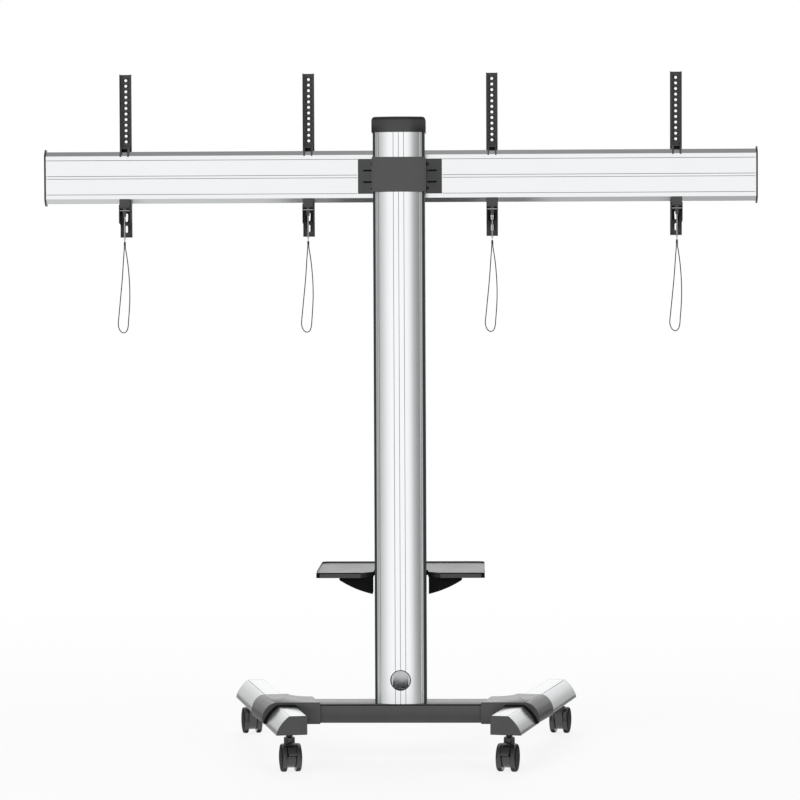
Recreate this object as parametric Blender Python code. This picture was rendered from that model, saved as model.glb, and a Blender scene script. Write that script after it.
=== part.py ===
"""Mobile stand for a video wall.

A tall aluminium column stands on a steel crossbar between two splayed legs on
twin-wheel castors. A long horizontal bar is clamped to the column, and four
perforated display strips hook over it and latch under it. A shelf hangs on the
column below.

Metres, +Z up. X runs along the bar, and +Y points to the side that the displays
face. The origin is on the floor under the middle of the stand.
"""

import math

import bmesh
import bpy
from mathutils import Matrix, Vector

# Clearance between pieces that seat on each other
GAP = 0.0003

# Legs
LEG_LENGTH = 1.109
LEG_WIDTH = 0.117
LEG_HEIGHT = 0.0715
LEG_FLAT = 0.068
LEG_CURVE_FULLNESS = 0.5
LEG_CORNER = 0.005
LEG_WALL = 0.003
LEG_WEB_OFFSET = 0.022
LEG_SPLAY = math.radians(12.3)
LEG_SPREAD = 0.5186
LEG_CAP_THICKNESS = 0.004
LEG_CAP_PLUG = 0.012

# Castors
CASTOR_HEIGHT = 0.1417
CASTOR_INSET = 0.067
WHEEL_DIAMETER = 0.106
WHEEL_WIDTH = 0.022
WHEEL_TRAIL = 0.028
WHEEL_FACE = 0.005
WHEEL_SIDE_GAP = 0.0005
WHEEL_ROOM = 0.0015
AXLE_DIAMETER = 0.008
CASTOR_BODY_WIDTH = 0.0325
CASTOR_BODY_RADIUS = 0.038
CASTOR_HOOD_MARGIN = 0.003
COLLAR_DIAMETER = 0.042
COLLAR_TOP_DROP = 0.0150
STEM_DIAMETER = 0.012
STEM_SHOULDER_DIAMETER = 0.025
STEM_SHOULDER_RAISE = 0.0015
STEM_NUT_DIAMETER = 0.022
STEM_NUT_HEIGHT = 0.006
STEM_DEPTH_IN_COLLAR = 0.020
PEDAL_BARREL_DIAMETER = 0.010
PEDAL_THICKNESS = 0.006
PEDAL_REACH = 0.018

# Crossbar and the castings that join it to the legs
CROSSBAR_DEPTH = 0.159
CROSSBAR_HEIGHT = 0.0725
CROSSBAR_WALL = 0.003
CROSSBAR_SETBACK = 0.1775
CROSSBAR_LIFT = 0.0055
CASTING_MOUTH = 0.308
CASTING_SOCKET_DEPTH = 0.080
CASTING_WALL = 0.008
CASTING_BACK_WALL = 0.0125
CASTING_SIDE = 0.010
CASTING_FLOOR = 0.003
CASTING_REACH = 0.082
CASTING_FILLET = 0.098
CASTING_SWELL = 0.010
CASTING_CREASE_SHIFT = 0.017
CASTING_TUCK = 0.0138

# Column
COLUMN_ABOVE_BAR = 0.1783
COLUMN_WIDTH = 0.197
COLUMN_DEPTH = 0.150
COLUMN_CROWN = 0.018
COLUMN_CORNER = 0.004
COLUMN_WALL = 0.004
COLUMN_RIB = 0.003
DUCT_WIDTH = 0.060
SIDE_STRIP_THICKNESS = 0.009
FRONT_GROOVE_SPACING = 0.020
FRONT_GROOVE_DEPTH = 0.001
EDGE_GROOVE_INSETS = (0.0037, 0.0092)
TEE_SLOT_OFFSET = 0.060
TEE_MOUTH = 0.010
TEE_LIP = 0.0035
TEE_POCKET_WIDTH = 0.018
TEE_POCKET_DEPTH = 0.007
SIDE_KEY_WIDTH = 0.008
SIDE_KEY_DEPTH = 0.005
PORT_DIAMETER = 0.080
PORT_RIM = 0.004
PORT_LIFT = 0.091
PORT_SLEEVE = 0.014
FOOT_HEIGHT = 0.040
CAP_HEIGHT = 0.0595
CAP_OVERLAP = 0.0175
CAP_OVERHANG = 0.005
CAP_ROUNDING = 0.014
CAP_CLEARANCE = 0.0007

# Horizontal bar
BAR_LENGTH = 2.755
BAR_HEIGHT = 0.2007
BAR_DEPTH = 0.045
BAR_CHAMFER = 0.017
BAR_WALL = 0.003
BAR_CENTRE_HEIGHT = 2.2467
BAR_GROOVE_OFFSET = 0.0663
BAR_GROOVE_DEPTH = 0.001
BAR_CENTRE_BAND = 0.0116
BAR_CENTRE_BAND_DEPTH = 0.002
BAR_CAP_THICKNESS = 0.005
BAR_CAP_LIP = 0.0095
BAR_CAP_PLUG = 0.015

# Clamp that holds the bar to the column
CLAMP_SHEET = 0.0025
CLAMP_HEIGHT = 0.1327
CLAMP_WIDTH = 0.3256
CLAMP_SLOT_SPACING = 0.0444
CLAMP_SLOT_HEIGHT = 0.0065
CLAMP_SLOT_END = 0.143
CLAMP_KEY_WIDTH = 0.003
SADDLE_DEPTH = 0.057
SADDLE_WIDTH = 0.180
SADDLE_WALL = 0.004

# Display strips
STRIP_SPACING = 0.714
STRIP_LENGTH = 0.634
STRIP_WIDTH = 0.0446
STRIP_DEPTH = 0.028
STRIP_SHEET = 0.0025
STRIP_ABOVE_BAR = 0.302
STRIP_TAIL_DEPTH = 0.022
HOLE_DIAMETER = 0.011
HOLE_PITCH = 0.02164
HOLE_FROM_TOP = 0.0222
TAIL_SLOT_WIDTH = 0.0088
TAIL_SLOT_LENGTHS = (0.0324, 0.0274)
TAIL_SLOT_RISES = (0.061, 0.0188)
KEYHOLE_DIAMETER = 0.011
HOOK_RISE = 0.019
HOOK_DROP = 0.0205
HOOK_THICKNESS = 0.006
HOOK_SPACING = 0.0292
HOOK_CLEARANCE = 0.0005
SKIRT_DROP = 0.075
SKIRT_CHAMFER = 0.008

# Latch that grips the bar from below, its pull wire and cord
LATCH_SHEET = 0.0035
LATCH_SIDE_GAP = 0.0004
LATCH_RISE = 0.0153
LATCH_DROP = 0.0184
LATCH_CURL = 0.006
LATCH_BLOCK_HEIGHT = 0.006
LATCH_TRAVEL = 0.018
LATCH_TONGUE_WIDTH = 0.012
LATCH_TONGUE_DROP = 0.052
LATCH_TONGUE_THICKNESS = 0.004
GUIDE_PIN_DIAMETER = 0.004
GUIDE_PIN_GAP = 0.0012
WIRE_DIAMETER = 0.0044
WIRE_LENGTH = 0.084
RING_DIAMETER = 0.0078
RING_WIRE = 0.0016
EYE_DIAMETER = 0.012
FERRULE_DIAMETER = 0.0084
FERRULE_LENGTH = 0.0178
CORD_DIAMETER = 0.0039
CORD_POINTS = 62

# Shelf
SHELF_HEIGHT = 0.7205
SHELF_WIDTH = 0.647
SHELF_FRONT = 0.042
SHELF_DEPTH = 0.450
SHELF_LIP = 0.020
SHELF_SHEET = 0.0025
SHELF_BEAD = 0.005
SHELF_CORNER = 0.028
NOTCH_CLEARANCE = 0.0065
NOTCH_FLARE = 0.048
GUSSET_SPAN = 0.128
GUSSET_DROP = 0.064
GUSSET_TIP = 0.010
GUSSET_SAG = 0.006
GUSSET_DEPTH = 0.090
GUSSET_WALL = 0.003
GUSSET_BOSS = 0.055
BRACKET_WIDTH = 0.150
BRACKET_DROP = 0.150
BRACKET_REACH = 0.210
BRACKET_PLATE = 0.005
BRACKET_RIB = 0.004

# Places that follow from the sizes above
LEG_BOTTOM = CASTOR_HEIGHT
LEG_TOP = LEG_BOTTOM + LEG_HEIGHT
CROSSBAR_BOTTOM = LEG_BOTTOM + CROSSBAR_LIFT
CROSSBAR_TOP = CROSSBAR_BOTTOM + CROSSBAR_HEIGHT
CROSSBAR_HALF = CASTING_MOUTH + CASTING_SOCKET_DEPTH
FRONT = -CROSSBAR_SETBACK - CROSSBAR_DEPTH / 2
COLUMN_BOTTOM = CROSSBAR_TOP + GAP
COLUMN_TOP = BAR_CENTRE_HEIGHT + COLUMN_ABOVE_BAR
COLUMN_BACK = FRONT + COLUMN_DEPTH
COLUMN_HALF = COLUMN_WIDTH / 2
EXTRUSION_HALF = COLUMN_HALF - SIDE_STRIP_THICKNESS - GAP
CROWN_RADIUS = (EXTRUSION_HALF ** 2 + COLUMN_CROWN ** 2) / (2 * COLUMN_CROWN)
BAR_REAR = COLUMN_BACK + SADDLE_DEPTH + 2 * GAP
BAR_FACE = BAR_REAR + BAR_DEPTH
BAR_TOP = BAR_CENTRE_HEIGHT + BAR_HEIGHT / 2
BAR_BOTTOM = BAR_CENTRE_HEIGHT - BAR_HEIGHT / 2
STRIP_FRONT = BAR_FACE + GAP
STRIP_BACK = STRIP_FRONT + STRIP_DEPTH
STRIP_TOP = BAR_TOP + STRIP_ABOVE_BAR
STRIP_BOTTOM = STRIP_TOP - STRIP_LENGTH
LATCH_FRONT = BAR_REAR - HOOK_CLEARANCE - LATCH_SHEET
WIRE_Y = LATCH_FRONT + LATCH_TONGUE_THICKNESS
WIRE_TOP = BAR_BOTTOM - LATCH_TONGUE_DROP
WIRE_BOTTOM = WIRE_TOP - WIRE_LENGTH
RING_CENTRE = WIRE_BOTTOM - RING_DIAMETER / 2 + RING_WIRE
EYE_CENTRE = RING_CENTRE - RING_DIAMETER / 2 - EYE_DIAMETER / 2 + 2 * RING_WIRE + GAP
FERRULE_TOP = EYE_CENTRE - EYE_DIAMETER / 2 + RING_WIRE
FERRULE_BOTTOM = FERRULE_TOP - FERRULE_LENGTH
SHELF_NEAR = FRONT + SHELF_FRONT
SHELF_FAR = SHELF_NEAR + SHELF_DEPTH
NOTCH_HALF = COLUMN_HALF + NOTCH_CLEARANCE

STRIP_NAMES = ("left_outer", "left_inner", "right_inner", "right_outer")

# Route of a pull cord, as sideways offset and height below the ferrule, seen from the front.
CORD_ROUTE = (
    (-0.0021, 0.0004),
    (-0.0026, 0.014),
    (-0.0055, 0.050),
    (-0.0108, 0.125),
    (-0.0180, 0.200),
    (-0.0258, 0.277),
    (-0.0278, 0.300),
    (-0.0250, 0.318),
    (-0.0165, 0.3315),
    (-0.0055, 0.3355),
    (0.0048, 0.329),
    (0.0104, 0.312),
    (0.0128, 0.285),
    (0.0165, 0.235),
    (0.0180, 0.190),
    (0.0168, 0.135),
    (0.0120, 0.075),
    (0.0056, 0.027),
    (0.0026, 0.010),
    (0.0021, 0.0004),
)


# Outlines in a plane, as lists of points

def arc(centre, radius_u, radius_v, start, end, steps):
    """Points of an elliptical arc, with angles in degrees."""
    points = []
    for step in range(steps + 1):
        angle = math.radians(start + (end - start) * step / steps)
        points.append((centre[0] + radius_u * math.cos(angle), centre[1] + radius_v * math.sin(angle)))
    return points


def circle(centre, radius, steps):
    """A round outline."""
    return arc(centre, radius, radius, 0, 360, steps)[:-1]


def rectangle(left, right, bottom, top):
    """A rectangular outline."""
    return [(left, bottom), (right, bottom), (right, top), (left, top)]


def rounded(corners, steps=4):
    """A closed outline whose corners (u, v, radius) are rounded where the radius isn't zero."""
    outline = []
    count = len(corners)
    for index, (u, v, radius) in enumerate(corners):
        corner = Vector((u, v))
        before = (Vector(corners[index - 1][:2]) - corner).normalized()
        after = (Vector(corners[(index + 1) % count][:2]) - corner).normalized()
        if radius == 0:
            outline.append((u, v))
            continue
        half_angle = before.angle(after) / 2
        reach = radius / math.tan(half_angle)
        centre = corner + (before + after).normalized() * (radius / math.sin(half_angle))
        first = corner + before * reach - centre
        last = corner + after * reach - centre
        turn = first.angle_signed(last)
        for step in range(steps + 1):
            spoke = Matrix.Rotation(-turn * step / steps, 2) @ first
            outline.append(tuple(centre + spoke))
    return outline


def mirrored_outline(half):
    """A closed outline from its right half, listed from one end of the mirror line to the other."""
    return half + [(-u, v) for u, v in reversed(half) if abs(u) > 1e-9]


# Solids, as meshes

def mesh_from(bm):
    """Hand over the finished bmesh as a mesh with its faces pointing out."""
    bmesh.ops.recalc_face_normals(bm, faces=bm.faces)
    mesh = bpy.data.meshes.new("solid")
    bm.to_mesh(mesh)
    bm.free()
    return mesh


def bmesh_from(mesh):
    bm = bmesh.new()
    bm.from_mesh(mesh)
    return bm


PLACES = {
    "XY": lambda u, v, w: Vector((u, v, w)),
    "XZ": lambda u, v, w: Vector((u, w, v)),
    "YZ": lambda u, v, w: Vector((w, u, v)),
}


def extruded(loops, plane, start, end):
    """Extrude an outline, with any holes in it, along the axis that isn't in its plane."""
    place = PLACES[plane]
    bm = bmesh.new()
    edges = []
    for loop in loops:
        verts = [bm.verts.new(place(u, v, start)) for u, v in loop]
        if len(loops) == 1:
            bm.faces.new(verts)
        else:
            edges += [bm.edges.new(pair) for pair in zip(verts, verts[1:] + verts[:1])]
    if edges:
        bmesh.ops.triangle_fill(bm, edges=edges, use_beauty=True)
    grown = bmesh.ops.extrude_face_region(bm, geom=bm.faces[:])["geom"]
    far_verts = [item for item in grown if isinstance(item, bmesh.types.BMVert)]
    bmesh.ops.translate(bm, verts=far_verts, vec=place(0, 0, end) - place(0, 0, start))
    return mesh_from(bm)


def lofted(outlines, plane, stations):
    """Solid through outlines with equally many points, one at each station across their plane."""
    place = PLACES[plane]
    bm = bmesh.new()
    rings = []
    for outline, station in zip(outlines, stations):
        rings.append([bm.verts.new(place(u, v, station)) for u, v in outline])
    bm.faces.new(rings[0])
    bm.faces.new(rings[-1])
    for first, last in zip(rings, rings[1:]):
        for index in range(len(first)):
            bm.faces.new((first[index - 1], first[index], last[index], last[index - 1]))
    return mesh_from(bm)


def revolved(profile, steps, closed=False):
    """Turn a profile of (radius, height) points about Z. An open one starts and ends on the axis."""
    bm = bmesh.new()
    verts = [bm.verts.new((radius, 0, height)) for radius, height in profile]
    pairs = list(zip(verts, verts[1:]))
    if closed:
        pairs.append((verts[-1], verts[0]))
    edges = [bm.edges.new(pair) for pair in pairs]
    bmesh.ops.spin(bm, geom=verts + edges, cent=(0, 0, 0), axis=(0, 0, 1), angle=math.tau,
                   steps=steps, use_merge=True)
    bmesh.ops.remove_doubles(bm, verts=bm.verts, dist=1e-7)
    return mesh_from(bm)


def moved(mesh, matrix):
    """The mesh after a transform, with its faces still pointing out."""
    bm = bmesh_from(mesh)
    bmesh.ops.transform(bm, matrix=matrix, verts=bm.verts)
    return mesh_from(bm)


def mirrored(mesh):
    """The mesh mirrored in X."""
    return moved(mesh, Matrix.Scale(-1, 4, (1, 0, 0)))


def bevelled(mesh, width, segments, chosen):
    """Round the edges that the test picks."""
    bm = bmesh_from(mesh)
    bm.normal_update()
    edges = [edge for edge in bm.edges if len(edge.link_faces) == 2 and chosen(edge)]
    bmesh.ops.bevel(bm, geom=edges, offset=width, segments=segments, profile=0.5,
                    affect="EDGES", material=-1)
    return mesh_from(bm)


def combined(mesh, tools, operation):
    """Boolean of a mesh with others, one after the other."""
    objects = [bpy.data.objects.new("work", item) for item in [mesh] + list(tools)]
    for item in objects:
        bpy.context.scene.collection.objects.link(item)
    base = objects[0]
    for tool in objects[1:]:
        modifier = base.modifiers.new("boolean", "BOOLEAN")
        modifier.operation = operation
        modifier.solver = "EXACT"
        modifier.object = tool
    graph = bpy.context.evaluated_depsgraph_get()
    result = bpy.data.meshes.new_from_object(base.evaluated_get(graph))
    for item in objects:
        bpy.data.objects.remove(item)
    return result


def joined(meshes):
    """Several meshes that don't touch, as one."""
    bm = bmesh.new()
    for mesh in meshes:
        bm.from_mesh(mesh)
    return mesh_from(bm)


def cut(mesh, *tools):
    return combined(mesh, tools, "DIFFERENCE")


def united(mesh, *tools):
    return combined(mesh, tools, "UNION")


def box(left, right, near, far, bottom, top):
    """A block between two places on each axis."""
    return extruded([rectangle(left, right, near, far)], "XY", bottom, top)


def cylinder(centre, axis, radius, start, end, steps=32):
    """A round bar along an axis, which passes through the centre given in the other two."""
    planes = {"X": "YZ", "Y": "XZ", "Z": "XY"}
    return extruded([circle(centre, radius, steps)], planes[axis], start, end)


# Objects

def linear(hex_digits):
    """The linear colour of an sRGB hex value."""
    channels = [int(hex_digits[index:index + 2], 16) / 255 for index in (0, 2, 4)]
    return [value / 12.92 if value <= 0.04045 else ((value + 0.055) / 1.055) ** 2.4 for value in channels]


def material(name, hex_digits, roughness, metallic=0.0):
    made = bpy.data.materials.new(name)
    made.use_nodes = True
    shader = made.node_tree.nodes["Principled BSDF"]
    shader.inputs["Base Color"].default_value = linear(hex_digits) + [1.0]
    shader.inputs["Roughness"].default_value = roughness
    shader.inputs["Metallic"].default_value = metallic
    made.diffuse_color = linear(hex_digits) + [1.0]
    return made


def piece(name, mesh, finish, parent=None, location=(0, 0, 0), turn=0.0):
    """One named sub-part of the stand."""
    mesh.name = name
    mesh.materials.clear()
    mesh.materials.append(finish)
    mesh.shade_smooth()
    mesh.set_sharp_from_angle(angle=math.radians(30))
    made = bpy.data.objects.new(name, mesh)
    made.location = location
    made.rotation_euler[2] = turn
    made.parent = parent
    bpy.context.scene.collection.objects.link(made)
    return made


def pivot(name, location, turn=0.0, parent=None):
    """An empty on the axis of a joint."""
    made = bpy.data.objects.new(name, None)
    made.empty_display_size = 0.05
    made.location = location
    made.rotation_euler[2] = turn
    made.parent = parent
    bpy.context.scene.collection.objects.link(made)
    return made


# Legs

def leg_curve(reach, top, start, steps):
    """Outer side of a leg from an angle up to its flat top, between an ellipse and its chord."""
    centre = LEG_FLAT - LEG_WIDTH / 2
    points = []
    for across, height in arc((0, 0), reach - centre, top, start, 90, steps):
        chord = top * (1 - across / (reach - centre))
        points.append((centre + across, chord + LEG_CURVE_FULLNESS * (height - chord)))
    return points


def leg_outline(grow=0.0):
    """The D section of a leg: upright inner side, flat top and a round outer side."""
    inner = -LEG_WIDTH / 2 - grow
    top = LEG_HEIGHT + grow
    radius = LEG_CORNER + grow
    corner = arc((inner + radius, top - radius), radius, radius, 90, 180, 3)
    return [(inner, 0)] + leg_curve(LEG_WIDTH / 2 + grow, top, 0, 10) + corner


def leg_chambers(shrink=0.0):
    """The two hollows of a leg, each made smaller by a clearance."""
    near = LEG_WALL + shrink
    web_left = -LEG_WEB_OFFSET - LEG_WALL / 2 - shrink
    web_right = -LEG_WEB_OFFSET + LEG_WALL / 2 + shrink
    top = LEG_HEIGHT - near
    left = rectangle(-LEG_WIDTH / 2 + near, web_left, near, top)

    # The curve starts at the angle at which it clears the floor of the chamber
    start = math.degrees(near / (top * LEG_CURVE_FULLNESS))
    right = [(web_right, near)] + leg_curve(LEG_WIDTH / 2 - near, top, start, 8) + [(web_right, top)]
    return [left, right]


def leg_mesh():
    half = LEG_LENGTH / 2
    body = extruded([leg_outline()] + leg_chambers(), "XZ", -half, half)
    hole = STEM_DIAMETER / 2 + GAP
    stations = [side * castor_station() for side in (-1, 1)]
    drills = [cylinder((0, station), "Z", hole, -0.01, LEG_WALL * 2, 24) for station in stations]
    return cut(body, joined(drills))


def leg_cap_mesh():
    """End plate of a leg with the plugs that sit in its hollows. The leg lies beyond +Y of it."""
    plate = extruded([leg_outline()], "XZ", 0, LEG_CAP_THICKNESS)
    plate = bevelled(plate, 0.0012, 1, lambda edge: edge_at(edge, 1, 0))
    overlap = 0.001
    plug_end = LEG_CAP_THICKNESS + LEG_CAP_PLUG
    plugs = [extruded([loop], "XZ", LEG_CAP_THICKNESS - overlap, plug_end) for loop in leg_chambers(GAP)]
    return united(plate, *plugs)


def edge_at(edge, axis, place):
    """Whether both ends of an edge lie at a place on an axis."""
    return all(abs(vert.co[axis] - place) < 1e-6 for vert in edge.verts)


def castor_station():
    """Distance of a castor's stem from the middle of its leg, along the leg."""
    return LEG_LENGTH / 2 + LEG_CAP_THICKNESS + GAP - CASTOR_INSET


def make_legs(aluminium, dark):
    right = leg_mesh()
    cap = leg_cap_mesh()
    for side, name in ((-1, "left"), (1, "right")):
        mesh = right if side > 0 else mirrored(right)
        turn = -side * LEG_SPLAY
        base = pivot(f"leg_{name}_axis", (side * LEG_SPREAD, 0, LEG_BOTTOM), turn)
        piece(f"leg_{name}", mesh, aluminium, base)
        end = LEG_LENGTH / 2 + GAP + LEG_CAP_THICKNESS
        near = cap if side > 0 else mirrored(cap)
        far = moved(near, Matrix.Scale(-1, 4, (0, 1, 0)))
        piece(f"leg_cap_{name}_near", near, dark, base, (0, -end, 0))
        piece(f"leg_cap_{name}_far", far, dark, base, (0, end, 0))


# Castors

def stem_mesh():
    """Threaded stem with the flange nut that holds it in the leg, from the floor up."""
    shaft = STEM_DIAMETER / 2
    nut = STEM_NUT_DIAMETER / 2
    collar_top = CASTOR_HEIGHT - COLLAR_TOP_DROP
    low = collar_top - STEM_DEPTH_IN_COLLAR
    shoulder_low = collar_top + STEM_SHOULDER_RAISE
    under = CASTOR_HEIGHT - GAP
    inside = CASTOR_HEIGHT + LEG_WALL + GAP
    shoulder = STEM_SHOULDER_DIAMETER / 2
    profile = [
        (0, low), (shaft, low), (shaft, shoulder_low), (shoulder, shoulder_low), (shoulder, under),
        (shaft, under), (shaft, inside),
        (nut, inside), (nut, inside + STEM_NUT_HEIGHT), (shaft, inside + STEM_NUT_HEIGHT),
        (shaft, inside + 2 * STEM_NUT_HEIGHT), (0, inside + 2 * STEM_NUT_HEIGHT),
    ]
    return revolved(profile, 12)


def pedal_pivot():
    """Centre of the pedal's barrel, seen from the side, at 60 degrees round the axle."""
    distance = WHEEL_DIAMETER / 2 - PEDAL_BARREL_DIAMETER / 2
    angle = math.radians(60)
    return (WHEEL_TRAIL + distance * math.cos(angle), WHEEL_DIAMETER / 2 + distance * math.sin(angle))


def housing_mesh():
    """Body between the wheels, with its hood, swivel collar and axle."""
    axle_height = WHEEL_DIAMETER / 2
    centre = (WHEEL_TRAIL, axle_height)
    hood = WHEEL_DIAMETER / 2 + CASTOR_HOOD_MARGIN
    body = CASTOR_BODY_RADIUS
    side = arc(centre, body, body, -160, 52, 16) + arc(centre, hood, hood, 66, 152, 9)
    half = CASTOR_BODY_WIDTH / 2
    block = extruded([side], "YZ", -half, half)
    barrel = cylinder(pedal_pivot(), "X", PEDAL_BARREL_DIAMETER / 2 + GAP, -half * 2, half * 2, 16)
    block = cut(block, barrel)
    collar_top = CASTOR_HEIGHT - COLLAR_TOP_DROP
    radius = COLLAR_DIAMETER / 2
    bore = STEM_DIAMETER / 2 + GAP
    floor = collar_top - STEM_DEPTH_IN_COLLAR - GAP
    collar = revolved([(0, axle_height), (radius, axle_height), (radius, collar_top - 0.003),
                       (radius - 0.003, collar_top), (bore, collar_top), (bore, floor), (0, floor)], 20)
    below = box(-radius * 2, radius * 2, -radius * 2, centre[0] - body * 0.7, 0, axle_height + body * 0.6)
    rooms = [cylinder(centre, "X", WHEEL_DIAMETER / 2 + WHEEL_ROOM, *sorted((side * half, side * radius * 2)))
             for side in (-1, 1)]
    collar = cut(collar, below, joined(rooms))
    axle_end = half + WHEEL_SIDE_GAP + WHEEL_WIDTH - WHEEL_FACE
    axle = cylinder(centre, "X", AXLE_DIAMETER / 2, -axle_end, axle_end, 16)
    return united(block, collar, axle)


def wheel_mesh():
    """A wheel about X with its inner face at x = 0, its outer face domed and its bore blind."""
    radius = WHEEL_DIAMETER / 2
    bore = AXLE_DIAMETER / 2 + GAP
    blind = WHEEL_WIDTH - WHEEL_FACE + GAP
    wide = WHEEL_WIDTH
    profile = [
        (0, blind), (bore, blind), (bore, 0), (radius - 0.003, 0), (radius, 0.004),
        (radius, wide - 0.006), (radius - 0.004, wide - 0.0015), (radius - 0.012, wide - 0.0015),
        (radius - 0.015, wide), (0, wide),
    ]
    return moved(revolved(profile, 24), Matrix.Rotation(math.radians(90), 4, "Y"))


def pedal_mesh():
    """Brake pedal about its barrel, placed round the axle like the hood, with a foot lip."""
    centre = (WHEEL_TRAIL, WHEEL_DIAMETER / 2)
    hinge = pedal_pivot()
    outer = WHEEL_DIAMETER / 2 + CASTOR_HOOD_MARGIN
    inner = outer - PEDAL_THICKNESS
    lip = outer + PEDAL_REACH
    side = arc(centre, outer, outer, 20, 62, 6) + arc(centre, inner, inner, 62, 14, 6)
    side += [ring_point(centre, lip - 0.003, 14), ring_point(centre, lip, 16), ring_point(centre, lip, 18.5)]
    half = CASTOR_BODY_WIDTH / 2 - GAP
    plate = extruded([side], "YZ", -half, half)
    radius = PEDAL_BARREL_DIAMETER / 2
    return united(plate, cylinder(hinge, "X", radius, -half, half, 16))


def ring_point(centre, radius, degrees):
    """A point at a radius and an angle round a centre."""
    angle = math.radians(degrees)
    return (centre[0] + radius * math.cos(angle), centre[1] + radius * math.sin(angle))


def make_castors(black, rubber, steel):
    stem = stem_mesh()
    housing = housing_mesh()
    wheel = wheel_mesh()
    pedal = moved(pedal_mesh(), Matrix.Translation((0, -pedal_pivot()[0], -pedal_pivot()[1])))
    inner_face = CASTOR_BODY_WIDTH / 2 + WHEEL_SIDE_GAP
    for side, side_name in ((-1, "left"), (1, "right")):
        for end, end_name in ((-1, "near"), (1, "far")):
            along = end * castor_station()
            place = (side * (LEG_SPREAD + along * math.sin(LEG_SPLAY)), along * math.cos(LEG_SPLAY), 0)
            heading = -side * LEG_SPLAY + (0 if end > 0 else math.pi)
            name = f"castor_{side_name}_{end_name}"
            swivel = pivot(f"{name}_swivel", place, heading)
            piece(f"{name}_stem", stem.copy(), steel, swivel)
            piece(f"{name}_housing", housing.copy(), black, swivel)
            axle = (0, WHEEL_TRAIL, WHEEL_DIAMETER / 2)
            spin = pivot(f"{name}_axle", axle, 0, swivel)
            piece(f"{name}_wheel_a", mirrored(wheel), rubber, spin, (-inner_face, 0, 0))
            piece(f"{name}_wheel_b", wheel.copy(), rubber, spin, (inner_face, 0, 0))
            piece(f"{name}_pedal", pedal.copy(), black, swivel, (0, *pedal_pivot()))


# Crossbar and castings

def crossbar_mesh():
    near = FRONT
    far = FRONT + CROSSBAR_DEPTH
    low = CROSSBAR_BOTTOM
    high = CROSSBAR_TOP
    bend = 0.004
    wall = CROSSBAR_WALL
    outer = rounded([(near, low, bend), (far, low, bend), (far, high, bend), (near, high, bend)], 3)
    inner = rectangle(near + wall, far - wall, low + wall, high - wall)
    return extruded([outer, inner], "YZ", -CROSSBAR_HALF, CROSSBAR_HALF)


def along_leg(station, offset):
    """A point beside the right leg, seen from above: a station along it and an offset outwards."""
    sine = math.sin(LEG_SPLAY)
    cosine = math.cos(LEG_SPLAY)
    return (LEG_SPREAD + station * sine + offset * cosine, station * cosine - offset * sine)


def leg_station(y, offset):
    """The station at which a line beside the leg reaches a given Y."""
    return (y + offset * math.sin(LEG_SPLAY)) / math.cos(LEG_SPLAY)


def casting_side(swell, crease, top, bottom):
    """What lies outside a casting's curved outer side, seen along the leg.

    The side starts at a crease beside the flat top, is widest near its foot and tucks under.
    """
    corner = LEG_FLAT - LEG_WIDTH / 2 + crease
    widest = LEG_WIDTH / 2 + CASTING_SIDE + swell
    level = bottom + CASTING_TUCK
    curve = arc((corner, level), widest - corner, top - level, 86, 0, 10)
    tuck = arc((widest - CASTING_TUCK, level), CASTING_TUCK, CASTING_TUCK, 0, -90, 4)
    beyond = widest + 0.05
    frame = [(tuck[-1][0], bottom - 0.01), (beyond, bottom - 0.01), (beyond, top + 0.01),
             (curve[0][0], top + 0.01)]
    return curve + tuck[1:] + frame


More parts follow.
